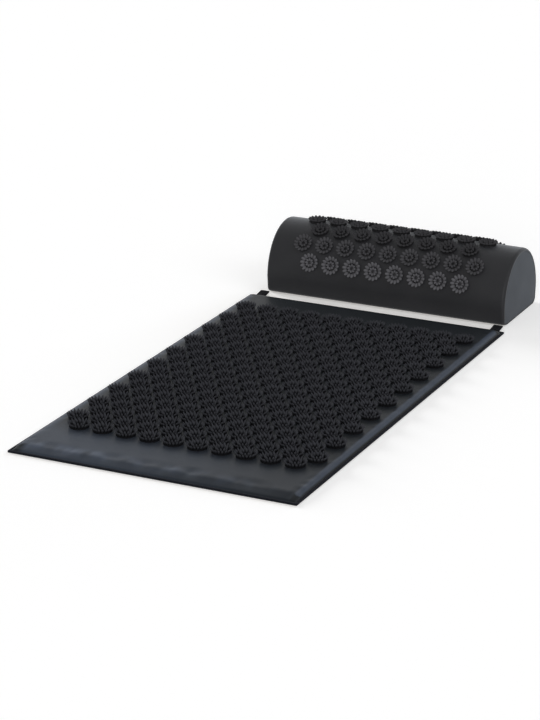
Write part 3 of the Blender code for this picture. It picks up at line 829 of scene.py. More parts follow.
def line_mesh(name, points, closed=False):
    """Edges from point to point, without faces."""
    edges = [(at, at + 1) for at in range(len(points) - 1)]
    if closed:
        edges.append((len(points) - 1, 0))
    mesh = bpy.data.meshes.new(name)
    mesh.from_pydata([tuple(point) for point in points], edges, [])
    return mesh


def grain_tree():
    """Rounded grains at even steps along a path: stitches along a seam, or teeth across a zip."""
    trim = bpy.context.scene.trimmings
    tree, entry, leave = new_tree(
        "Grains along a path",
        [
            ("Pitch", "NodeSocketFloat", trim.stitch_pitch),
            ("Along", "NodeSocketFloat", trim.stitch_length),
            ("Across", "NodeSocketFloat", trim.thread),
            ("Height", "NodeSocketFloat", trim.thread),
            ("Alternate", "NodeSocketFloat", 0.0),
            ("Material", "NodeSocketMaterial", None),
        ],
    )
    path = add(tree, "GeometryNodeMeshToCurve", {"Mesh": entry.outputs["Geometry"]}).outputs["Curve"]
    steps = add(
        tree, "GeometryNodeResampleCurve", {"Curve": path, "Length": entry.outputs["Pitch"]}, mode="LENGTH"
    ).outputs["Curve"]
    grain = add(
        tree, "GeometryNodeMeshUVSphere",
        {"Segments": GRAIN_SIDES, "Rings": GRAIN_RINGS, "Radius": GRAIN_RADIUS},
    ).outputs["Mesh"]
    size = vector_of(tree, entry.outputs["Along"], entry.outputs["Across"], entry.outputs["Height"])
    tangent = add(tree, "GeometryNodeInputTangent").outputs["Tangent"]
    facing = add(tree, "FunctionNodeAlignRotationToVector", {"Vector": tangent}, axis="X").outputs["Rotation"]
    index = add(tree, "GeometryNodeInputIndex").outputs["Index"]
    side = maths(tree, "MULTIPLY_ADD", maths(tree, "MODULO", index, 2.0), 2.0, -1.0)
    shift = vector_of(tree, y=product(tree, side, entry.outputs["Alternate"]))
    moved = add(tree, "GeometryNodeSetPosition", {"Geometry": steps, "Offset": shift}).outputs["Geometry"]
    placed = add(
        tree, "GeometryNodeInstanceOnPoints",
        {"Points": moved, "Instance": grain, "Rotation": facing, "Scale": size},
    ).outputs["Instances"]
    real = add(tree, "GeometryNodeRealizeInstances", {"Geometry": placed}).outputs["Geometry"]
    rounded = add(tree, "GeometryNodeSetShadeSmooth", {"Geometry": real}).outputs["Geometry"]
    finish_tree(tree, entry, leave, rounded)
    return tree


def petal_ring(tree, entry, label):
    """One ring of leaning petals, standing on the disc and rounded off to their tips."""
    height = entry.outputs[f"{label} height"]
    cone = add(
        tree, "GeometryNodeMeshCone",
        {
            "Vertices": entry.outputs["Sides"],
            "Side Segments": entry.outputs["Levels"],
            "Radius Top": entry.outputs[f"{label} tip"],
            "Radius Bottom": entry.outputs[f"{label} root"],
            "Depth": height,
        },
        fill_type="NGON",
    ).outputs["Mesh"]
    spot = parts_of(tree, add(tree, "GeometryNodeInputPosition").outputs["Position"])
    share = maths(tree, "DIVIDE", spot["Z"], height)
    left_share = maths(tree, "POWER", maths(tree, "SUBTRACT", 1.0, share), PETAL_ROUNDING)
    risen_share = maths(tree, "SUBTRACT", 1.0, left_share)
    leaning_share = maths(tree, "POWER", risen_share, PETAL_LEANING)
    lean = product(tree, leaning_share, entry.outputs[f"{label} lean"])
    belly = maths(tree, "MULTIPLY_ADD", wave(tree, share, HALF_TURN), entry.outputs["Belly"], 1.0)
    shaped = vector_of(
        tree,
        maths(tree, "MULTIPLY_ADD", spot["X"], belly, lean),
        product(tree, spot["Y"], product(tree, belly, entry.outputs[f"{label} width"])),
        product(tree, risen_share, height),
    )
    bent = add(tree, "GeometryNodeSetPosition", {"Geometry": cone, "Position": shaped}).outputs["Geometry"]
    # The share is worked out again here, from where the corners of the bent petal are
    marked = add(
        tree, "GeometryNodeStoreNamedAttribute",
        {"Geometry": bent, "Name": "up_the_petal", "Value": share},
        data_type="FLOAT", domain="POINT",
    ).outputs["Geometry"]
    circle = add(
        tree, "GeometryNodeMeshCircle",
        {"Vertices": entry.outputs[f"{label} count"], "Radius": entry.outputs[f"{label} radius"]},
    ).outputs["Mesh"]
    index = add(tree, "GeometryNodeInputIndex").outputs["Index"]
    step = maths(tree, "DIVIDE", FULL_TURN, entry.outputs[f"{label} count"])
    facing = add(
        tree, "FunctionNodeEulerToRotation", {"Euler": vector_of(tree, z=product(tree, index, step))}
    ).outputs["Rotation"]
    return add(
        tree, "GeometryNodeInstanceOnPoints", {"Points": circle, "Instance": marked, "Rotation": facing}
    ).outputs["Instances"]


def lifted(tree, geometry, height):
    """Geometry moved up."""
    return add(
        tree, "GeometryNodeTransform", {"Geometry": geometry, "Translation": vector_of(tree, z=height)}
    ).outputs["Geometry"]


def flipped(tree, mesh):
    """A mesh with its faces turned over."""
    return add(tree, "GeometryNodeFlipFaces", {"Mesh": mesh}).outputs["Mesh"]


def disc_wall(tree, top, bottom, height):
    """A wall from one radius to another, open above and below."""
    return add(
        tree, "GeometryNodeMeshCone",
        {
            "Vertices": DISC_SIDES,
            "Side Segments": 1,
            "Radius Top": top,
            "Radius Bottom": bottom,
            "Depth": height,
        },
        fill_type="NONE",
    ).outputs["Mesh"]


def disc_face(tree, radius):
    """A flat round face that looks up."""
    return add(
        tree, "GeometryNodeMeshCircle", {"Vertices": DISC_SIDES, "Radius": radius}, fill_type="NGON"
    ).outputs["Mesh"]


def disc_parts(tree, entry):
    """The disc under the petals: a skirt sunk into the cloth, a slightly dished top and a hole."""
    radius = entry.outputs["Disc radius"]
    height = entry.outputs["Disc height"]
    hole = entry.outputs["Hole radius"]
    sunk = entry.outputs["Sunk"]
    dish = entry.outputs["Dish"]
    bottom = product(tree, hole, WELL_SHARE)
    below = product(tree, sunk, -1.0)
    return [
        lifted(tree, disc_wall(tree, radius, radius, maths(tree, "ADD", height, sunk)), below),
        lifted(tree, disc_wall(tree, hole, radius, dish), height),
        lifted(tree, flipped(tree, disc_wall(tree, hole, bottom, height)), dish),
        lifted(tree, disc_face(tree, bottom), dish),
        lifted(tree, flipped(tree, disc_face(tree, radius)), below),
    ]


def join(tree, parts):
    """Geometries brought together in their order."""
    joined = tree.nodes.new("GeometryNodeJoinGeometry")
    for part in parts:
        tree.links.new(part, joined.inputs["Geometry"])
    return joined.outputs["Geometry"]


def finish_tree(tree, entry, leave, geometry):
    """Gives the geometry its material and ends the tree."""
    finished = add(
        tree, "GeometryNodeSetMaterial", {"Geometry": geometry, "Material": entry.outputs["Material"]}
    ).outputs["Geometry"]
    tree.links.new(finished, leave.inputs["Geometry"])


def input_label(key):
    """A tree's label for one of the rosettes' sizes."""
    return key.replace("_", " ").capitalize()


def rosette_tree(sizes):
    """Rosettes on points: a disc and two rings of petals, each turned to the point's own standing."""
    inputs = [("Sunk", "NodeSocketFloat", DISC_SUNK), ("Dish", "NodeSocketFloat", DISC_DISH)]
    for key, *_ in ROSETTE_LENGTHS + ROSETTE_NUMBERS:
        inputs.append((input_label(key), "NodeSocketFloat", getattr(sizes, key)))
    for key, *_ in ROSETTE_COUNTS:
        inputs.append((input_label(key), "NodeSocketInt", getattr(sizes, key)))
    inputs.append(("Material", "NodeSocketMaterial", None))
    tree, entry, leave = new_tree("Rosettes on points", inputs)

    disc = add(
        tree, "GeometryNodeMergeByDistance",
        {"Geometry": join(tree, disc_parts(tree, entry)), "Distance": 2 * WELD},
    ).outputs["Geometry"]
    flat_disc = add(
        tree, "GeometryNodeSetShadeSmooth", {"Geometry": disc, "Shade Smooth": False}
    ).outputs["Geometry"]
    rings = join(tree, [petal_ring(tree, entry, label) for label in ("Outer", "Middle")])
    rounded = add(tree, "GeometryNodeSetShadeSmooth", {"Geometry": rings}).outputs["Geometry"]
    rosette = join(tree, [flat_disc, lifted(tree, rounded, entry.outputs["Disc height"])])
    standing = add(
        tree, "GeometryNodeInputNamedAttribute", {"Name": "standing"}, data_type="FLOAT_VECTOR"
    ).outputs["Attribute"]
    facing = add(tree, "FunctionNodeEulerToRotation", {"Euler": standing}).outputs["Rotation"]
    placed = add(
        tree, "GeometryNodeInstanceOnPoints",
        {"Points": entry.outputs["Geometry"], "Instance": rosette, "Rotation": facing},
    ).outputs["Instances"]
    chance = add(
        tree, "FunctionNodeRandomValue",
        {
            "Min": product(tree, entry.outputs["Wander"], -1.0),
            "Max": entry.outputs["Wander"],
            "Seed": entry.outputs["Seed"],
        },
        data_type="FLOAT",
    )
    turned = add(
        tree, "GeometryNodeRotateInstances",
        {"Instances": placed, "Rotation": vector_of(tree, z=chance.outputs["Value"])},
    ).outputs["Instances"]
    real = add(tree, "GeometryNodeRealizeInstances", {"Geometry": turned}).outputs["Geometry"]
    finish_tree(tree, entry, leave, real)
    return tree


def edge_height(cover):
    """The height of the mat's bound edge less one gap: two tapes, two gaps and two cloths."""
    return 2 * (TAPE + GAP + cover.cloth)


def in_from_flange(x, y):
    """How far a point is inside the flange of the nearest side and of the nearest end."""
    return MAT_SIZE.x / 2 - FLANGE_INNER - abs(x), MAT_SIZE.y / 2 - FLANGE_INNER - abs(y)


def cover_height(x, y):
    """The top of the mat's cover above the floor, with the puckers that its seams pull in."""
    cover = bpy.context.scene.mat_cover
    flange = edge_height(cover) - TAPE
    across, along = in_from_flange(x, y)
    wavy = 1.0 + ROLL_WAVE_SHARE * ripple(math.copysign(3.0, x), y / ROLL_WAVE, 0.0)
    side_share = eased_share(across / (cover.side_slope * wavy), SIDE_ALONG_SHARES, SIDE_UP_SHARES)
    at_foot = y < 0
    slope = cover.foot_slope if at_foot else cover.head_slope
    end_share = eased_share(along / slope, END_ALONG_SHARES, END_UP_SHARES)
    height = flange + (MAT_TOP - flange) * side_share * end_share
    length = cover.pucker_length
    if at_foot:
        pulled = max(ripple(x / length, 0.7, along / (3 * length)) + 0.25, 0.0)
        pulled += 0.5 * max(ripple(x / (length * 0.45), 5.1, along / (2 * length)), 0.0)
        reach = FOOT_PUCKER_SLOPES * cover.foot_slope
        height -= cover.pucker_depth * pulled * bell(along / reach) * side_share
    pulled = max(ripple(9.0 + math.copysign(2.0, x), y / (length * 0.6), across / length) + 0.1, 0.0)
    reach = SIDE_PUCKER_SLOPES * cover.side_slope
    height -= 0.5 * cover.pucker_depth * pulled * bell(across / reach) * end_share
    inside_share = share_between(across, 0.0, SWELL_MARGIN) * share_between(along, 0.0, SWELL_MARGIN)
    swell_share = 0.5 + 0.5 * ripple(x / SWELL_LENGTH, y / SWELL_LENGTH, 2.0)
    height -= SWELL_DEPTH * inside_share * swell_share
    return max(height, flange)


def cover_painted_light(x, y):
    """How much paler the cover is here than in its middle: rubbed on its rolls, dark beside its seams."""
    cover = bpy.context.scene.mat_cover
    across, along = in_from_flange(x, y)
    wander = ripple(math.copysign(5.0, x), y / ROLL_WANDER_LENGTH, 1.0)
    top = cover.side_slope * (ROLL_TOP_SHARE + ROLL_WANDER_SHARE * wander)
    factor = 1.0 if x > 0 else LEFT_ROLL_FACTOR
    low, high = ROLL_FADE_SHARES
    faded_share = share_between(across, low * top, high * factor * top)
    low, high = ROLL_START_SHARES
    risen_share = share_between(across, low * top, high * top)
    roll_share = risen_share * (1.0 - faded_share)
    from_end = along - 0.8 * abs(across - 0.5 * top)
    low, high = ROLL_FOOT_SHARES
    end_share = share_between(from_end, low * cover.foot_slope, high * cover.foot_slope)
    # Painted shade where the cloth dives to its seam
    seam_share = (1.0 - risen_share) * share_between(along, 0.0, cover.head_slope)
    paler = cover.roll_painted_highlight * roll_share * end_share - cover.seam_painted_shade * seam_share
    if y < 0:
        # Painted highlights on the foot's puckers, and a painted reflection on its blank strip
        spots = 0.0
        for wide, long, layer, share in PAINTED_HIGHLIGHT_SPOTS:
            spots += share * ripple(x / wide, along / long, layer)
        right_share = PAINTED_HIGHLIGHT_FADE_SHARE * share_between(x, PAINTED_HIGHLIGHT_LEFT, PAINTED_HIGHLIGHT_RIGHT)
        band_share = bell(along / (FOOT_PUCKER_SLOPES * cover.foot_slope)) * (1.0 - right_share)
        painted_tone = max(spots + PAINTED_HIGHLIGHT_LEVEL, 0.0) * band_share * (1.0 - roll_share)
        paler += cover.foot_painted_highlight * painted_tone
        blank_share = 1.0 - share_between(along, FOOT_BLANK, FOOT_BLANK + FOOT_FADE)
        left_share = 1.0 - FOOT_FADE_SHARE * share_between(x, FOOT_LEFT, FOOT_RIGHT)
        paler += cover.foot_painted_reflection * blank_share * left_share * (1.0 - roll_share)
    return paler


def rounded_rectangle(half_x, half_y, radius, steps, spacing):
    """Points about the spacing apart round a rectangle with rounded corners, counter-clockwise."""
    points = []
    for turn, (side_x, side_y) in enumerate(((1, -1), (1, 1), (-1, 1), (-1, -1))):
        for step in range(steps + 1):
            angle = QUARTER_TURN * (turn - 1 + step / steps)
            outward = Vector((math.cos(angle), math.sin(angle)))
            corner = Vector((side_x * (half_x - radius), side_y * (half_y - radius)))
            points.append(corner + outward * radius)
    loop = []
    for here, there in zip(points, points[1:] + points[:1]):
        count = max(int((there - here).length / spacing), 1)
        loop.extend(here.lerp(there, step / count) for step in range(count))
    return loop


def clamp_inside(point, inset):
    """The nearest point on the mat's outline moved in by this much."""
    half_x, half_y = MAT_SIZE.x / 2 - inset, MAT_SIZE.y / 2 - inset
    return Vector((min(max(point.x, -half_x), half_x), min(max(point.y, -half_y), half_y)))


def build_mat_top(cover, material):
    """The upper cover, puffed up from its flange, with a finer mesh on its slopes."""
    half_x, half_y = MAT_SIZE.x / 2 - FLANGE_REACH, MAT_SIZE.y / 2 - FLANGE_REACH
    side_fine = FLANGE_INNER + 2.2 * cover.side_slope
    foot_fine = FLANGE_INNER + 2.0 * cover.foot_slope
    head_fine = FLANGE_INNER + 1.3 * cover.head_slope
    xs = graded_lines(-half_x, half_x, side_fine, side_fine, cover.fine_step, cover.wide_step)
    ys = graded_lines(-half_y, half_y, foot_fine, head_fine, cover.fine_step, cover.wide_step)
    mesh = sheet_mesh("mat_top_cover", xs, ys, lambda i, j: (xs[i], ys[j], cover_height(xs[i], ys[j])))
    # Painted highlight, painted reflection and painted shade on the cover, stored at each corner for its
    # material
    paler = mesh.attributes.new("paler", "FLOAT", "POINT")
    paler.data.foreach_set("value", [cover_painted_light(x, y) for x in xs for y in ys])
    top = piece_from("mat_top_cover", mesh)
    thicken(top, cover.cloth, -1)
    hand_over(top, "mat", "mat_cloth", material, ["mat_top_panel"])


def build_mat_base(cover, material):
    """The lower cover, flat on the floor and raised to the flange at its edge."""
    low = TAPE + GAP
    half_x, half_y = MAT_SIZE.x / 2 - FLANGE_REACH, MAT_SIZE.y / 2 - FLANGE_REACH
    fine = FLANGE_INNER + BASE_RISE_LENGTH
    xs = graded_lines(-half_x, half_x, fine, fine, cover.fine_step, 4 * cover.wide_step)
    ys = graded_lines(-half_y, half_y, fine, fine, cover.fine_step, 4 * cover.wide_step)

    def place(i, j):
        rim = min(half_x - abs(xs[i]), half_y - abs(ys[j]))
        down_share = share_between(rim, FLANGE_INNER - FLANGE_REACH, fine)
        return xs[i], ys[j], low * (1.0 - bell(down_share / 2))

    base = piece_from("mat_base_cover", sheet_mesh("mat_base_cover", xs, ys, place))
    thicken(base, cover.cloth, 1)
    hand_over(base, "mat", "mat_cloth", material, ["mat_base_panel"])


def closed_slab(name, xs, ys, top, floor):
    """A slab with a shaped top, walls and a flat underside."""
    columns, rows = len(xs), len(ys)
    count = columns * rows
    corners = [(x, y, top(x, y)) for x in xs for y in ys] + [(x, y, floor) for x in xs for y in ys]
    faces = []
    for i in range(columns - 1):
        for j in range(rows - 1):
            at = i * rows + j
            faces.append((at, at + rows, at + rows + 1, at + 1))
            faces.append((count + at, count + at + 1, count + at + rows + 1, count + at + rows))
    rim = [i * rows for i in range(columns)] + [(columns - 1) * rows + j for j in range(1, rows)]
    rim += [i * rows + rows - 1 for i in range(columns - 2, -1, -1)] + list(range(rows - 2, 0, -1))
    for here, there in zip(rim, rim[1:] + rim[:1]):
        faces.append((here, count + here, count + there, there))
    mesh = bpy.data.meshes.new(name)
    mesh.from_pydata(corners, [], faces)
    return mesh


def build_mat_foam(cover, material):
    """The slab that fills the mat, just under its cover."""
    drop = 2.2 * cover.cloth + GAP
    half_x = MAT_SIZE.x / 2 - FLANGE_INNER - 0.4 * cover.side_slope
    half_y = MAT_SIZE.y / 2 - FLANGE_INNER - 0.4 * cover.head_slope
    fine = cover.side_slope
    xs = graded_lines(-half_x, half_x, fine, fine, 2 * cover.fine_step, 5 * cover.wide_step)
    ys = graded_lines(-half_y, half_y, fine, fine, 2 * cover.fine_step, 5 * cover.wide_step)
    floor = cover.cloth + GAP

    def top(x, y):
        return max(cover_height(x, y) - drop, floor + cover.cloth)

    core = piece_from("mat_foam", closed_slab("mat_foam", xs, ys, top, floor))
    hand_over(core, "mat", "foam", material, ["mat_foam_core"])


def build_binding(cover, material):
    """The tape folded round the flanges, with its fold rounded and its edge slightly uneven."""
    top = edge_height(cover) + GAP
    roll = BINDING_ROLL
    outer = [(BINDING_WIDTH, 0.0), (roll, 0.0)]
    outer += [(roll * (1 - math.sin(a)), roll * (1 - math.cos(a))) for a in (0.5, 1.05, QUARTER_TURN)]
    outer += [(reach, top - level) for reach, level in reversed(outer)]
    inner = [(BINDING_WIDTH, top - TAPE), (roll, top - TAPE), (TAPE, top - roll), (TAPE, roll)]
    inner += [(roll, TAPE), (BINDING_WIDTH, TAPE)]
    fold = outer + inner
    half_x, half_y = MAT_SIZE.x / 2, MAT_SIZE.y / 2
    loop = rounded_rectangle(half_x, half_y, BINDING_CORNER, ROUND_CORNER_STEPS, BINDING_STEP)
    distances = walked([(*point, 0.0) for point in loop + loop[:1]])
    rounds = walked([(0.0, *point) for point in fold + fold[:1]])

    def place(i, j):
        start = loop[i % len(loop)]
        reach, level = fold[j % len(fold)]
        inward = clamp_inside(start, BINDING_WIDTH) - start
        spot = start + inward * (reach / BINDING_WIDTH)
        lift = 0.0
        if level > top / 2 and reach >= roll * 0.9:
            round_the_mat = distances[i % len(loop)] / BINDING_WAVE
            lift = BINDING_UNEVEN * ripple(round_the_mat, reach / BINDING_WAVE_ACROSS, 0.0)
        return spot.x, spot.y, level + lift

    mesh = sheet_mesh("mat_binding_tape", distances, rounds, place)
    piece = piece_from("mat_binding_tape", mesh)
    weld(mesh)
    hand_over(piece, "mat", "binding_cloth", material, ["mat_edge_binding"])


def weld(mesh):
    """Merges the corners that meet and turns the faces outwards."""
    bm = bmesh.new()
    bm.from_mesh(mesh)
    bmesh.ops.remove_doubles(bm, verts=bm.verts, dist=WELD)
    bmesh.ops.recalc_face_normals(bm, faces=bm.faces)
    bm.to_mesh(mesh)
    bm.free()


def sewing_thread(name, slot):
    """The tree, finish and slot of the stitches in one part of the set."""
    colour = bpy.context.scene.trimmings.thread_colour
    return {
        "tree": grain_tree(),
        "material": plain_material(name, colour, roughness=0.6, grain_scale=2500.0),
        "slot": slot,
    }


def stitch_line(name, body, points, thread, bend=None):
    """A row of stitches round a closed line of points."""
    line = line_mesh(name, points, closed=True)
    piece = grow(name, line, thread["tree"], {"Material": thread["material"]})
    return hand_over(piece, body, thread["slot"], thread["material"], bend=bend)


def arch_point(angle):
    """A point on the pillow's arch, out and up from the middle of its widest level."""
    return Vector((PILLOW_HALF * math.sin(angle), PILLOW_ARCH * math.cos(angle)))


def arch_angle_at(distance):
    """The angle from the top at which the arch is this long."""
    done = 0.0
    before = arch_point(0.0)
    for step in range(1, MEASURED_STEPS + 1):
        angle = QUARTER_TURN * step / MEASURED_STEPS
        here = arch_point(angle)
        done += (here - before).length
        before = here
        if done >= distance:
            return angle
    return QUARTER_TURN


def half_section(inset, floor=0.0):
    """The back half of the pillow's section as (out, up) points, from its top to the base seam."""
    half = PILLOW_HALF - inset
    arch = PILLOW_ARCH - inset
    points = []
    for step in range(ARCH_STEPS + 1):
        angle = QUARTER_TURN * (1 - step / ARCH_STEPS)
        points.append((half * math.cos(angle), PILLOW_WAIST + arch * math.sin(angle)))
    low = half - PILLOW_TUCK_BOTTOM
    upper, lower = (half - PILLOW_TUCK_TOP, PILLOW_ZIP_TOP), (low, PILLOW_ZIP_BOTTOM)
    for step in range(WALL_STEPS + 1):
        share = step / WALL_STEPS
        points.append(tuple(a + (b - a) * share for a, b in zip(upper, lower)))
    corner = PILLOW_CORNER - floor
    for step in range(1, CORNER_STEPS + 1):
        angle = QUARTER_TURN * step / CORNER_STEPS
        out = low - corner * (1 - math.cos(angle))
        points.append((out, floor + (PILLOW_ZIP_BOTTOM - floor) * (1 - math.sin(angle))))
    points.append((low - corner - PILLOW_HEM, floor))
    return points


def whole_section(inset, floor=0.0):
    """The section as (y, z) points, from the front base seam over the top to the back one."""
    back = half_section(inset, floor)
    return [(-out, up) for out, up in reversed(back[1:])] + back


def pillow_point(x, y, z):
    """A point given from the middle of the pillow's underside."""
    return x + PILLOW_MIDDLE.x, y + PILLOW_MIDDLE.y, z


def build_pillow_wrap(pillow, cloth, material):
    """The cloth round the section, turned in at both ends and slightly puckered beside their seams."""
    radius = pillow.end_radius
    straight = PILLOW_SIZE.x / 2 - radius
    inner = graded_lines(-straight, straight, WRAP_FINE, WRAP_FINE, WRAP_FINE_STEP, pillow.step)
    turned = [QUARTER_TURN * step / WRAP_TURN_STEPS for step in range(1, WRAP_TURN_STEPS + 1)]
    ends = [(straight + radius * math.sin(angle), radius * (1 - math.cos(angle))) for angle in turned]
    stations = [(-x, inset) for x, inset in reversed(ends)] + [(x, 0.0) for x in inner] + ends
    sections = {inset: whole_section(inset) for _, inset in stations}
    across = walked([(x, inset, 0.0) for x, inset in stations])
    along = walked([(0.0, *point) for point in sections[0.0]])
    round_length = along[-1]

    def place(i, j):
        x, inset = stations[i]
        y, z = sections[inset][j]
        outward = Vector((y / PILLOW_HALF, max(z - PILLOW_WAIST, 0.0) / PILLOW_ARCH))
        if outward.length < 0.2:
            return pillow_point(x, y, z)
        from_end = PILLOW_SIZE.x / 2 - abs(x)
        near_seam_share = math.exp(-from_end / SEAM_REACH) * bell(0.15 + 0.7 * along[j] / round_length)
        uneven = 1.0 + ripple(along[j] / SEAM_PUCKER_LENGTH, math.copysign(4.0, x), 0.3)
        pull = pillow.seam_pucker * near_seam_share * uneven
        swell = 1.0 + ripple(x / WRAP_SOFT_ACROSS, along[j] / WRAP_SOFT_ALONG, 8.0)
        soft = WRAP_SOFT_DEPTH * swell * bell(along[j] / round_length)
        outward = outward.normalized() * (pull + soft)
        return pillow_point(x, y - outward.x, z - outward.y)

    wrap = piece_from("pillow_wrap", sheet_mesh("pillow_wrap", across, along, place))
    thicken(wrap, cloth, -1)
    hand_over(wrap, "pillow", "pillow_cloth", material, ["pillow_wrap_panel"])


def build_pillow_base(pillow, cloth, material):
    """The flat panel under the pillow, inside its seams."""
    half_y = half_section(0.0)[-1][0] - GAP
    half_x = PILLOW_SIZE.x / 2
    outline = rounded_rectangle(half_x, half_y, pillow.end_radius, ROUND_CORNER_STEPS, BASE_STEP)

    def place(flat, share):
        return flat.x, flat.y, 0.0

    mesh = ringed_mesh("pillow_base", outline, BASE_RING_SHARES, place)
    mesh.transform(PILLOW_PLACE)
    base = piece_from("pillow_base", mesh)
    thicken(base, cloth, 1)
    hand_over(base, "pillow", "pillow_cloth", material, ["pillow_base_panel"])


def ringed_mesh(name, outline, ring_shares, place):
    """A panel of shrinking rings round its middle, whose corners lie where place says."""
    middle = sum(outline, Vector((0.0, 0.0))) / len(outline)
    corners, flats, faces = [], [], []
    count = len(outline)
    for share in ring_shares:
        for point in outline:
            flat = middle + (point - middle) * share
            flats.append(tuple(flat))
            corners.append(tuple(place(flat, share)))
    flats.append(tuple(middle))
    corners.append(tuple(place(middle, 0.0)))
    for ring in range(len(ring_shares) - 1):
        for at in range(count):
            after = (at + 1) % count
            low, high = ring * count, (ring + 1) * count
            faces.append((low + at, low + after, high + after, high + at))
    last = (len(ring_shares) - 1) * count
    for at in range(count):
        faces.append((last + at, last + (at + 1) % count, len(corners) - 1))
    mesh = bpy.data.meshes.new(name)
    mesh.from_pydata(corners, [], faces)
    cloth_map = mesh.uv_layers.new(name="cloth")
    for loop in mesh.loops:
        cloth_map.data[loop.index].uv = flats[loop.vertex_index]
    return mesh


def build_pillow_end(pillow, label, side, cloth, material):
    """A D-shaped panel, pulled in at its seam and gently full in its middle."""
    outline = [Vector(point) for point in whole_section(pillow.end_radius + GAP, cloth + GAP)]
    if side > 0:
        outline.reverse()

    def place(flat, share):
        seam = END_SEAM_DEPTH * math.exp(-(1.0 - share) / END_SEAM_SHARE)
        full = pillow.end_crown * (1.0 - share ** 3)
        swell = ripple(flat.x / END_SOFT_LENGTH, flat.y / END_SOFT_LENGTH, side * 2.0)
        soft = END_SOFT_DEPTH * swell * (1.0 - share)
        return side * (PILLOW_SIZE.x / 2 - seam + full + soft), flat.x, flat.y

    mesh = ringed_mesh(f"pillow_{label}_end", outline, END_RING_SHARES, place)
    mesh.transform(PILLOW_PLACE)
    panel = piece_from(f"pillow_{label}_end", mesh)
    thicken(panel, cloth, -1)
    hand_over(panel, "pillow", "pillow_end_cloth", material, [f"pillow_end_panel_{label}"])


def round_edges(piece, label, width, segments):
    """Rounds off a piece's sharp edges."""
    rounding = piece.modifiers.new(label, "BEVEL")
    rounding.width = width
    rounding.segments = segments
    rounding.angle_limit = BEVEL_LIMIT


def build_pillow_foam(pillow, cloth, material):
    """The half-round block that fills the cover."""
    inset = cloth + 4 * GAP
    section = [Vector(point) for point in whole_section(inset, inset)]
    half = PILLOW_SIZE.x / 2 - inset
    count = len(section)
    corners = [pillow_point(x, point.x, point.y) for x in (-half, half) for point in section]
    faces = [(at, count + at, count + (at + 1) % count, (at + 1) % count) for at in range(count)]
    faces += [tuple(range(count)), tuple(reversed(range(count, 2 * count)))]
    mesh = bpy.data.meshes.new("pillow_foam")
    mesh.from_pydata(corners, [], faces)
    weld(mesh)
    core = piece_from("pillow_foam", mesh, smooth=False)
    round_edges(core, "Rounding", pillow.end_radius, 3)
    hand_over(core, "pillow", "foam", material, ["pillow_foam_core"])


def rosette_points(name, spots):
    """A mesh of loose points, each with the turn in which its rosette stands and the shade of its row."""
    mesh = bpy.data.meshes.new(name)
    mesh.from_pydata([tuple(spot) for spot, _, _ in spots], [], [])
    standing = mesh.attributes.new("standing", "FLOAT_VECTOR", "POINT")
    standing.data.foreach_set("vector", [angle for _, turn, _ in spots for angle in turn])
    shade = mesh.attributes.new("row_shade", "FLOAT", "POINT")
    shade.data.foreach_set("value", [painted_row_share for _, _, painted_row_share in spots])
    return mesh


def row_places(count):
    """How far each rosette of a row is from the row's middle."""
    return [(index - (count - 1) / 2) * ROSETTE_PITCH for index in range(count)]


def mat_rosette_spots():
    """Flat rows, as many and as wide as the solids of the rows are."""
    spots = []
    for name in MAT_ROWS:
        low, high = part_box(name)
        count = round((high.x - low.x) / ROSETTE_PITCH)
        for x in row_places(count):
            spots.append(((x, (low.y + high.y) / 2, low.z), (0.0, 0.0, 0.0), 1.0))
    return spots


def pillow_rosette_spots():
    """Rows over the arch, of eight and nine rosettes in turn."""
    each_side = len(PILLOW_ROWS) // 2
    spots = []
    for row in range(-each_side, each_side + 1):
        side = math.copysign(1.0, row)
        angle = arch_angle_at(abs(row) * ROW_PITCH) if row else 0.0
        out, up = arch_point(angle)
        normal = Vector((out / PILLOW_HALF ** 2, up / PILLOW_ARCH ** 2)).normalized()
        tilt = -side * math.atan2(normal.x, normal.y)
        y, z = side * (out + GAP * normal.x), PILLOW_WAIST + up + GAP * normal.y
        for x in row_places(PILLOW_TOP_ROW_COUNT - (row + each_side + 1) % 2):
            spots.append((pillow_point(x, y, z), (tilt, 0.0, 0.0), PILLOW_ROW_PAINTED_SHADES[abs(row)]))
    return spots


def flat_frame(upper, lower):
    """The frame on the middle of a flat between two (y, z) points: Y runs down it and Z out of it."""
    upper, lower = Vector((0.0, *upper)), Vector((0.0, *lower))
    along = Vector((1.0, 0.0, 0.0))
    down = (lower - upper).normalized()
    axes = Matrix((along, down, along.cross(down))).transposed().to_4x4()
    return Matrix.Translation((upper + lower) / 2) @ axes


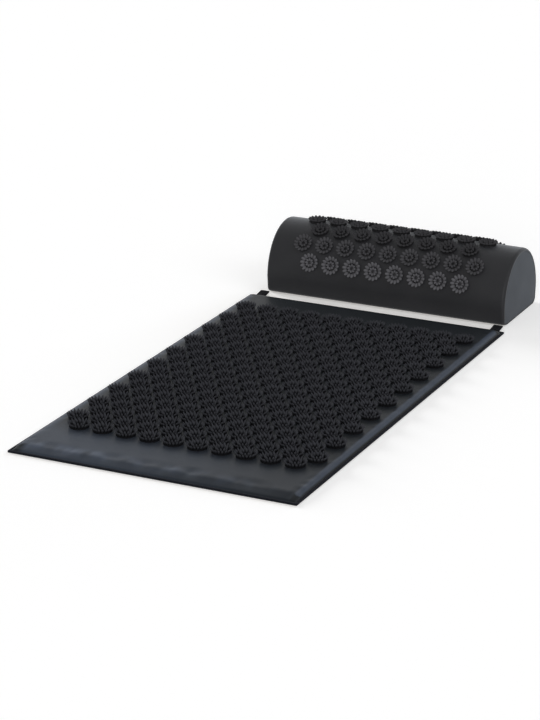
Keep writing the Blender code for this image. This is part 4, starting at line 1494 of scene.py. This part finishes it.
def build_zip(frame, finishes):
    """Two woven tapes and the teeth between them; slider and pull keep their solids."""
    trim = bpy.context.scene.trimmings
    inner = ZIP_COIL_HALF + GAP
    xs = [-ZIP_LENGTH / 2 + ZIP_LENGTH * step / ZIP_STEPS_ALONG for step in range(ZIP_STEPS_ALONG + 1)]
    outwards = [inner + ZIP_TAPE_WIDTH * step / ZIP_STEPS_ACROSS for step in range(ZIP_STEPS_ACROSS + 1)]
    for label, ys in (("upper", [-y for y in reversed(outwards)]), ("lower", outwards)):
        name = f"pillow_zip_{label}_tape"
        mesh = sheet_mesh(name, xs, ys, lambda i, j: (xs[i], ys[j], GAP))
        mesh.transform(frame)
        tape = piece_from(name, mesh)
        thicken(tape, ZIP_TAPE, 1)
        hand_over(tape, "pillow", "zip_tape_cloth", finishes["tape"], [f"pillow_zip_tape_{label}"])
    half = ZIP_LENGTH / 2 - ZIP_COIL_SHORT
    coil = grow(
        "pillow_zip_teeth",
        line_mesh("pillow_zip_teeth", [(-half, 0.0, TOOTH_LEVEL), (half, 0.0, TOOTH_LEVEL)]),
        grain_tree(),
        {
            "Pitch": trim.coil_pitch,
            "Along": TOOTH_LENGTH_SHARE * trim.coil_pitch,
            "Across": TOOTH_WIDTH,
            "Height": TOOTH_HEIGHT,
            "Alternate": TOOTH_SHIFT_SHARE * ZIP_COIL_HALF,
            "Material": finishes["coil"],
        },
    )
    coil.data.transform(frame)
    hand_over(coil, "pillow", "zip_coil_nylon", finishes["coil"], ["pillow_zip_coil"])
    for label in ("slider", "pull"):
        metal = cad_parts[f"pillow_zip_{label}"]
        metal.data.materials.clear()
        metal.data.materials.append(finishes["metal"])


def lamp_strength(studio, name):
    """A lamp's strength, which the studio keeps under the first word of the lamp's name."""
    return getattr(studio, name.split()[0].lower())


class StageOperator(bpy.types.Operator):
    """Lays the floor, hangs the lamps and sets the camera"""

    bl_idname = "acupressure.set_stage"
    bl_label = "Set the stage"

    def execute(self, context):
        scene = context.scene
        studio = scene.studio
        scene.view_settings.view_transform = "Standard"
        self.light_world(scene, studio)
        corners = [(-FLOOR_HALF, -FLOOR_HALF), (FLOOR_HALF, -FLOOR_HALF)]
        corners += [(FLOOR_HALF, FLOOR_HALF), (-FLOOR_HALF, FLOOR_HALF)]
        mesh = bpy.data.meshes.new("floor")
        mesh.from_pydata([(x, y, -GAP) for x, y in corners], [], [(0, 1, 2, 3)])
        floor = piece_from("floor", mesh, smooth=False)
        mesh.materials.append(self.floor_material(studio))
        for name, azimuth, elevation, softness, colour in LAMPS:
            self.hang_lamp(name, lamp_strength(studio, name), azimuth, elevation, softness, colour)
        self.place_camera(scene, studio)
        return {"FINISHED"}

    def light_world(self, scene, studio):
        """Even light from all round, behind a white background."""
        world = bpy.data.worlds.new("Studio")
        world.use_nodes = True
        scene.world = world
        tree = world.node_tree
        tree.nodes.clear()
        seen = self.seen_directly(tree)
        light = add(tree, "ShaderNodeBackground", {"Strength": studio.sky, "Color": (1.0, 1.0, 1.0, 1.0)})
        white = add(tree, "ShaderNodeBackground", {"Strength": 1.0, "Color": (1.0, 1.0, 1.0, 1.0)})
        mixed = add(tree, "ShaderNodeMixShader", {0: seen, 1: light.outputs[0], 2: white.outputs[0]})
        add(tree, "ShaderNodeOutputWorld", {"Surface": mixed.outputs[0]})

    def seen_directly(self, tree):
        """One for rays from the camera and for reflections, which see the plain white background."""
        path = add(tree, "ShaderNodeLightPath")
        glossy = maths(tree, "MAXIMUM", path.outputs["Is Glossy Ray"], path.outputs["Is Transmission Ray"])
        return maths(tree, "MAXIMUM", path.outputs["Is Camera Ray"], glossy)

    def floor_material(self, studio):
        """A pale floor that keeps its shadow and reads as white where it is open."""
        material, tree, shader = make_material("pale_floor", studio.floor, {
            "Base Color": (*studio.floor, 1.0),
            "Roughness": 1.0,
            "Specular IOR Level": 0.0,
        })
        lit = np.full(3, studio.sky)
        for name, _, elevation, _, colour in LAMPS:
            upright_share = math.sin(math.radians(elevation))
            lit += lamp_strength(studio, name) * upright_share / math.pi * np.array(colour)
        missing = studio.floor_white - np.array(studio.floor) * lit
        seen = self.seen_directly(tree)
        glow = add(tree, "ShaderNodeEmission", {"Strength": seen, "Color": (*missing, 1.0)})
        both = add(tree, "ShaderNodeAddShader", {0: shader.outputs[0], 1: glow.outputs[0]})
        tree.links.new(both.outputs[0], tree.nodes["Material Output"].inputs["Surface"])
        return material

    def hang_lamp(self, name, strength, azimuth, elevation, softness, colour):
        """A sun that shines from this side, as soft as its angle in degrees is wide."""
        lamp = bpy.data.lights.new(name, "SUN")
        lamp.color = colour
        lamp.energy = strength
        lamp.angle = math.radians(softness)
        holder = bpy.data.objects.new(name, lamp)
        holder.visible_glossy = name not in UNMIRRORED_LAMPS
        side, height = math.radians(azimuth), math.radians(elevation)
        holder.matrix_world = looking_from(side, height, LAMP_DISTANCE, Vector())
        bpy.context.scene.collection.objects.link(holder)

    def place_camera(self, scene, studio):
        """The view of the photograph."""
        data = bpy.data.cameras.new("Camera")
        data.lens = studio.lens
        data.clip_start = CLIP_START
        camera = bpy.data.objects.new("Camera", data)
        target = Vector(studio.target)
        camera.matrix_world = looking_from(studio.azimuth, studio.elevation, studio.distance, target)
        scene.collection.objects.link(camera)
        scene.camera = camera


def looking_from(azimuth, elevation, distance, target):
    """The place and turn of what looks at a target from this azimuth and elevation."""
    away = Vector((
        math.sin(azimuth) * math.cos(elevation),
        -math.cos(azimuth) * math.cos(elevation),
        math.sin(elevation),
    ))
    turn = away.to_track_quat("Z", "Y").to_matrix().to_4x4()
    return Matrix.Translation(target + away * distance) @ turn


class MatCoverOperator(bpy.types.Operator):
    """Sews the mat's upper and lower cover round its foam"""

    bl_idname = "acupressure.sew_mat_cover"
    bl_label = "Sew the mat's cover"

    def execute(self, context):
        cover = context.scene.mat_cover
        cloth = cloth_material("mat_cover_cloth", cover.colour, roughness=0.38, sheen=0.02, specular=0.08)
        foam = plain_material("foam", context.scene.trimmings.foam_colour, roughness=0.95, specular=0.1)
        build_mat_top(cover, cloth)
        build_mat_base(cover, cloth)
        build_mat_foam(cover, foam)
        return {"FINISHED"}


class BindingOperator(bpy.types.Operator):
    """Binds the mat's edge with a stitched tape"""

    bl_idname = "acupressure.bind_mat_edge"
    bl_label = "Bind the mat's edge"

    def execute(self, context):
        cover = context.scene.mat_cover
        tape = ribbed_material("binding_tape", cover.binding, BINDING_RIB, roughness=0.75)
        build_binding(cover, tape)
        inset = BINDING_STITCH_INSET_SHARE * BINDING_WIDTH
        level = edge_height(cover) + GAP + THREAD_SUNK_SHARE * context.scene.trimmings.thread
        half_x, half_y = MAT_SIZE.x / 2 - inset, MAT_SIZE.y / 2 - inset
        loop = rounded_rectangle(
            half_x, half_y, BINDING_STITCH_CORNER, BINDING_STITCH_CORNER_STEPS, BINDING_STITCH_STEP
        )
        points = [(*point, level) for point in loop]
        stitch_line("mat_binding_stitches", "mat", points, sewing_thread("thread", "binding_cloth"))
        return {"FINISHED"}


class MatRosetteOperator(bpy.types.Operator):
    """Moulds the mat's rosettes on their rows"""

    bl_idname = "acupressure.mould_mat_rosettes"
    bl_label = "Mould the mat's rosettes"

    def execute(self, context):
        sizes = context.scene.mat_rosettes
        plastic = rosette_material("mat_rosette_plastic", sizes.colour, painted_root_shade=0.22, risen_share=0.6)
        points = rosette_points("mat_rosettes", mat_rosette_spots())
        piece = grow("mat_rosettes", points, rosette_tree(sizes), {"Material": plastic})
        hand_over(piece, "mat", "mat_rosette_plastic", plastic, MAT_ROWS)
        return {"FINISHED"}


class PillowRosetteOperator(bpy.types.Operator):
    """Moulds the pillow's rosettes over its arch"""

    bl_idname = "acupressure.mould_pillow_rosettes"
    bl_label = "Mould the pillow's rosettes"

    def execute(self, context):
        sizes = context.scene.pillow_rosettes
        plastic = rosette_material("pillow_rosette_plastic", sizes.colour, painted_root_shade=0.50, risen_share=0.7)
        points = rosette_points("pillow_rosettes", pillow_rosette_spots())
        piece = grow("pillow_rosettes", points, rosette_tree(sizes), {"Material": plastic})
        hand_over(piece, "pillow", "pillow_rosette_plastic", plastic, PILLOW_ROWS)
        return {"FINISHED"}


class TabOperator(bpy.types.Operator):
    """Folds the two webbing tabs at the head corners"""

    bl_idname = "acupressure.fold_tabs"
    bl_label = "Fold the tabs"

    def execute(self, context):
        trim = context.scene.trimmings
        webbing = ribbed_material("tab_webbing", trim.webbing_colour, TAB_RIB, roughness=0.8)
        thread = sewing_thread("tab_thread", "webbing")
        level = edge_height(context.scene.mat_cover) + 2 * GAP
        for label, side in (("left", -1), ("right", 1)):
            seam = (side * (MAT_SIZE.x / 2 - TAB_INSET), MAT_SIZE.y / 2 + GAP, level)
            placed = Matrix.Translation(seam) @ Matrix.Rotation(TAB_TILT, 4, "X")
            self.fold(trim, f"mat_tab_{label}", placed, webbing, thread)
        return {"FINISHED"}

    def fold(self, trim, body, placed, webbing, thread):
        """One strip out from its seam and back over itself, held by a box of stitches."""
        radius = (trim.webbing + GAP) / 2
        straight = trim.tab_length - radius - trim.webbing / 2
        middle = -radius - trim.webbing / 2
        route = [(straight * step / TAB_STEPS, middle - radius) for step in range(TAB_STEPS)]
        for step in range(TAB_FOLD_STEPS + 1):
            angle = HALF_TURN * step / TAB_FOLD_STEPS
            route.append((straight + radius * math.sin(angle), middle - radius * math.cos(angle)))
        route += [(straight * step / TAB_STEPS, middle + radius) for step in range(TAB_STEPS - 1, -1, -1)]
        along = walked([(0.0, *point) for point in route])
        across = [trim.tab_width * (step / TAB_COLUMNS - 0.5) for step in range(TAB_COLUMNS + 1)]

        def place(i, j):
            out_share = abs(across[i]) / (trim.tab_width / 2)
            bow = TAB_BOW * (1.0 - out_share ** 2)
            out, up = route[j]
            return across[i], out, up + (bow if up > middle else -bow)

        mesh = sheet_mesh(body + "_webbing", across, along, place)
        mesh.transform(placed)
        tab = piece_from(body + "_webbing", mesh)
        thicken(tab, trim.webbing, 0)
        round_edges(tab, "Soft edges", trim.webbing / 4, 2)
        seam = placed.translation
        bend = (seam, seam + Vector((0.0, TAB_BEND, 0.0)))
        hand_over(tab, body, "webbing", webbing, [body], bend)
        top = middle + radius + trim.webbing / 2 + THREAD_SUNK_SHARE * trim.thread
        half = trim.tab_width / 2 - TAB_STITCH_INSET
        start, end = TAB_STITCH_START, TAB_STITCH_END
        box = [(-half, start), (half, start), (half, end), (-half, end)]
        corners = [placed @ Vector((x, y, top)) for x, y in box]
        stitch_line(body + "_stitches", body, corners, thread, bend)


class PillowCoverOperator(bpy.types.Operator):
    """Sews the pillow's wrap, base and ends round its foam"""

    bl_idname = "acupressure.sew_pillow_cover"
    bl_label = "Sew the pillow's cover"

    def execute(self, context):
        pillow = context.scene.pillow_cover
        cloth = context.scene.mat_cover.cloth
        wrap = cloth_material("pillow_wrap_cloth", pillow.wrap, roughness=0.42, sheen=0.12, specular=0.10)
        ends = cloth_material("pillow_end_cloth", pillow.ends, roughness=0.80, sheen=0.02, specular=0.05)
        foam_colour = context.scene.trimmings.foam_colour
        foam = plain_material("pillow_foam", foam_colour, roughness=0.95, specular=0.1)
        build_pillow_wrap(pillow, cloth, wrap)
        build_pillow_base(pillow, cloth, wrap)
        build_pillow_end(pillow, "left", -1, cloth, ends)
        build_pillow_end(pillow, "right", 1, cloth, ends)
        build_pillow_foam(pillow, cloth, foam)
        return {"FINISHED"}


class ZipOperator(bpy.types.Operator):
    """Sews the zip into the pillow's back"""

    bl_idname = "acupressure.fit_zip"
    bl_label = "Fit the zip"

    def execute(self, context):
        trim = context.scene.trimmings
        metal = plain_material(
            "zip_metal", trim.metal_colour, roughness=0.35, metallic=1.0, grain_scale=300.0
        )
        finishes = {
            "tape": ribbed_material("zip_tape", trim.zip_colour, ZIP_TAPE_RIB, roughness=0.85),
            "coil": plain_material("zip_nylon", trim.zip_colour, roughness=0.4),
            "metal": metal,
        }
        upper = (PILLOW_HALF - PILLOW_TUCK_TOP, PILLOW_ZIP_TOP)
        lower = (PILLOW_HALF - PILLOW_TUCK_BOTTOM, PILLOW_ZIP_BOTTOM)
        build_zip(PILLOW_PLACE @ flat_frame(upper, lower), finishes)
        return {"FINISHED"}


GROUPS = {
    "mat_cover": MatCover,
    "mat_rosettes": MatRosettes,
    "pillow_rosettes": PillowRosettes,
    "pillow_cover": PillowCover,
    "trimmings": Trimmings,
    "studio": Studio,
}

OPERATORS = (
    StageOperator,
    MatCoverOperator,
    BindingOperator,
    MatRosetteOperator,
    TabOperator,
    PillowCoverOperator,
    PillowRosetteOperator,
    ZipOperator,
)


class MatPanel(bpy.types.Panel):
    """Lists the steps that make the mat and its pillow, and their sizes"""

    bl_label = "Acupressure mat"
    bl_idname = "VIEW3D_PT_acupressure_mat"
    bl_space_type = "VIEW_3D"
    bl_region_type = "UI"
    bl_category = "Mat"

    def draw(self, context):
        for operator in OPERATORS:
            self.layout.operator(operator.bl_idname)
        for name, group in GROUPS.items():
            box = self.layout.box()
            box.label(text=group.__doc__)
            for prop in group.__annotations__:
                box.prop(getattr(context.scene, name), prop)


def register():
    """Makes the groups, the operators and the panel known, and gives the scene its sizes."""
    for group in GROUPS.values():
        bpy.utils.register_class(group)
    for operator in OPERATORS:
        bpy.utils.register_class(operator)
    bpy.utils.register_class(MatPanel)
    for name, group in GROUPS.items():
        setattr(bpy.types.Scene, name, PointerProperty(type=group))


def unregister():
    """Takes all of it away again."""
    for name in GROUPS:
        delattr(bpy.types.Scene, name)
    bpy.utils.unregister_class(MatPanel)
    for operator in reversed(OPERATORS):
        bpy.utils.unregister_class(operator)
    for group in reversed(list(GROUPS.values())):
        bpy.utils.unregister_class(group)


def main():
    """Makes every piece in order and writes the sizes of the solids and of the dressed set."""
    register()
    for step in (
        bpy.ops.acupressure.set_stage,
        bpy.ops.acupressure.sew_mat_cover,
        bpy.ops.acupressure.bind_mat_edge,
        bpy.ops.acupressure.mould_mat_rosettes,
        bpy.ops.acupressure.fold_tabs,
        bpy.ops.acupressure.sew_pillow_cover,
        bpy.ops.acupressure.mould_pillow_rosettes,
        bpy.ops.acupressure.fit_zip,
    ):
        step()


if __name__ == "__main__":
    main()
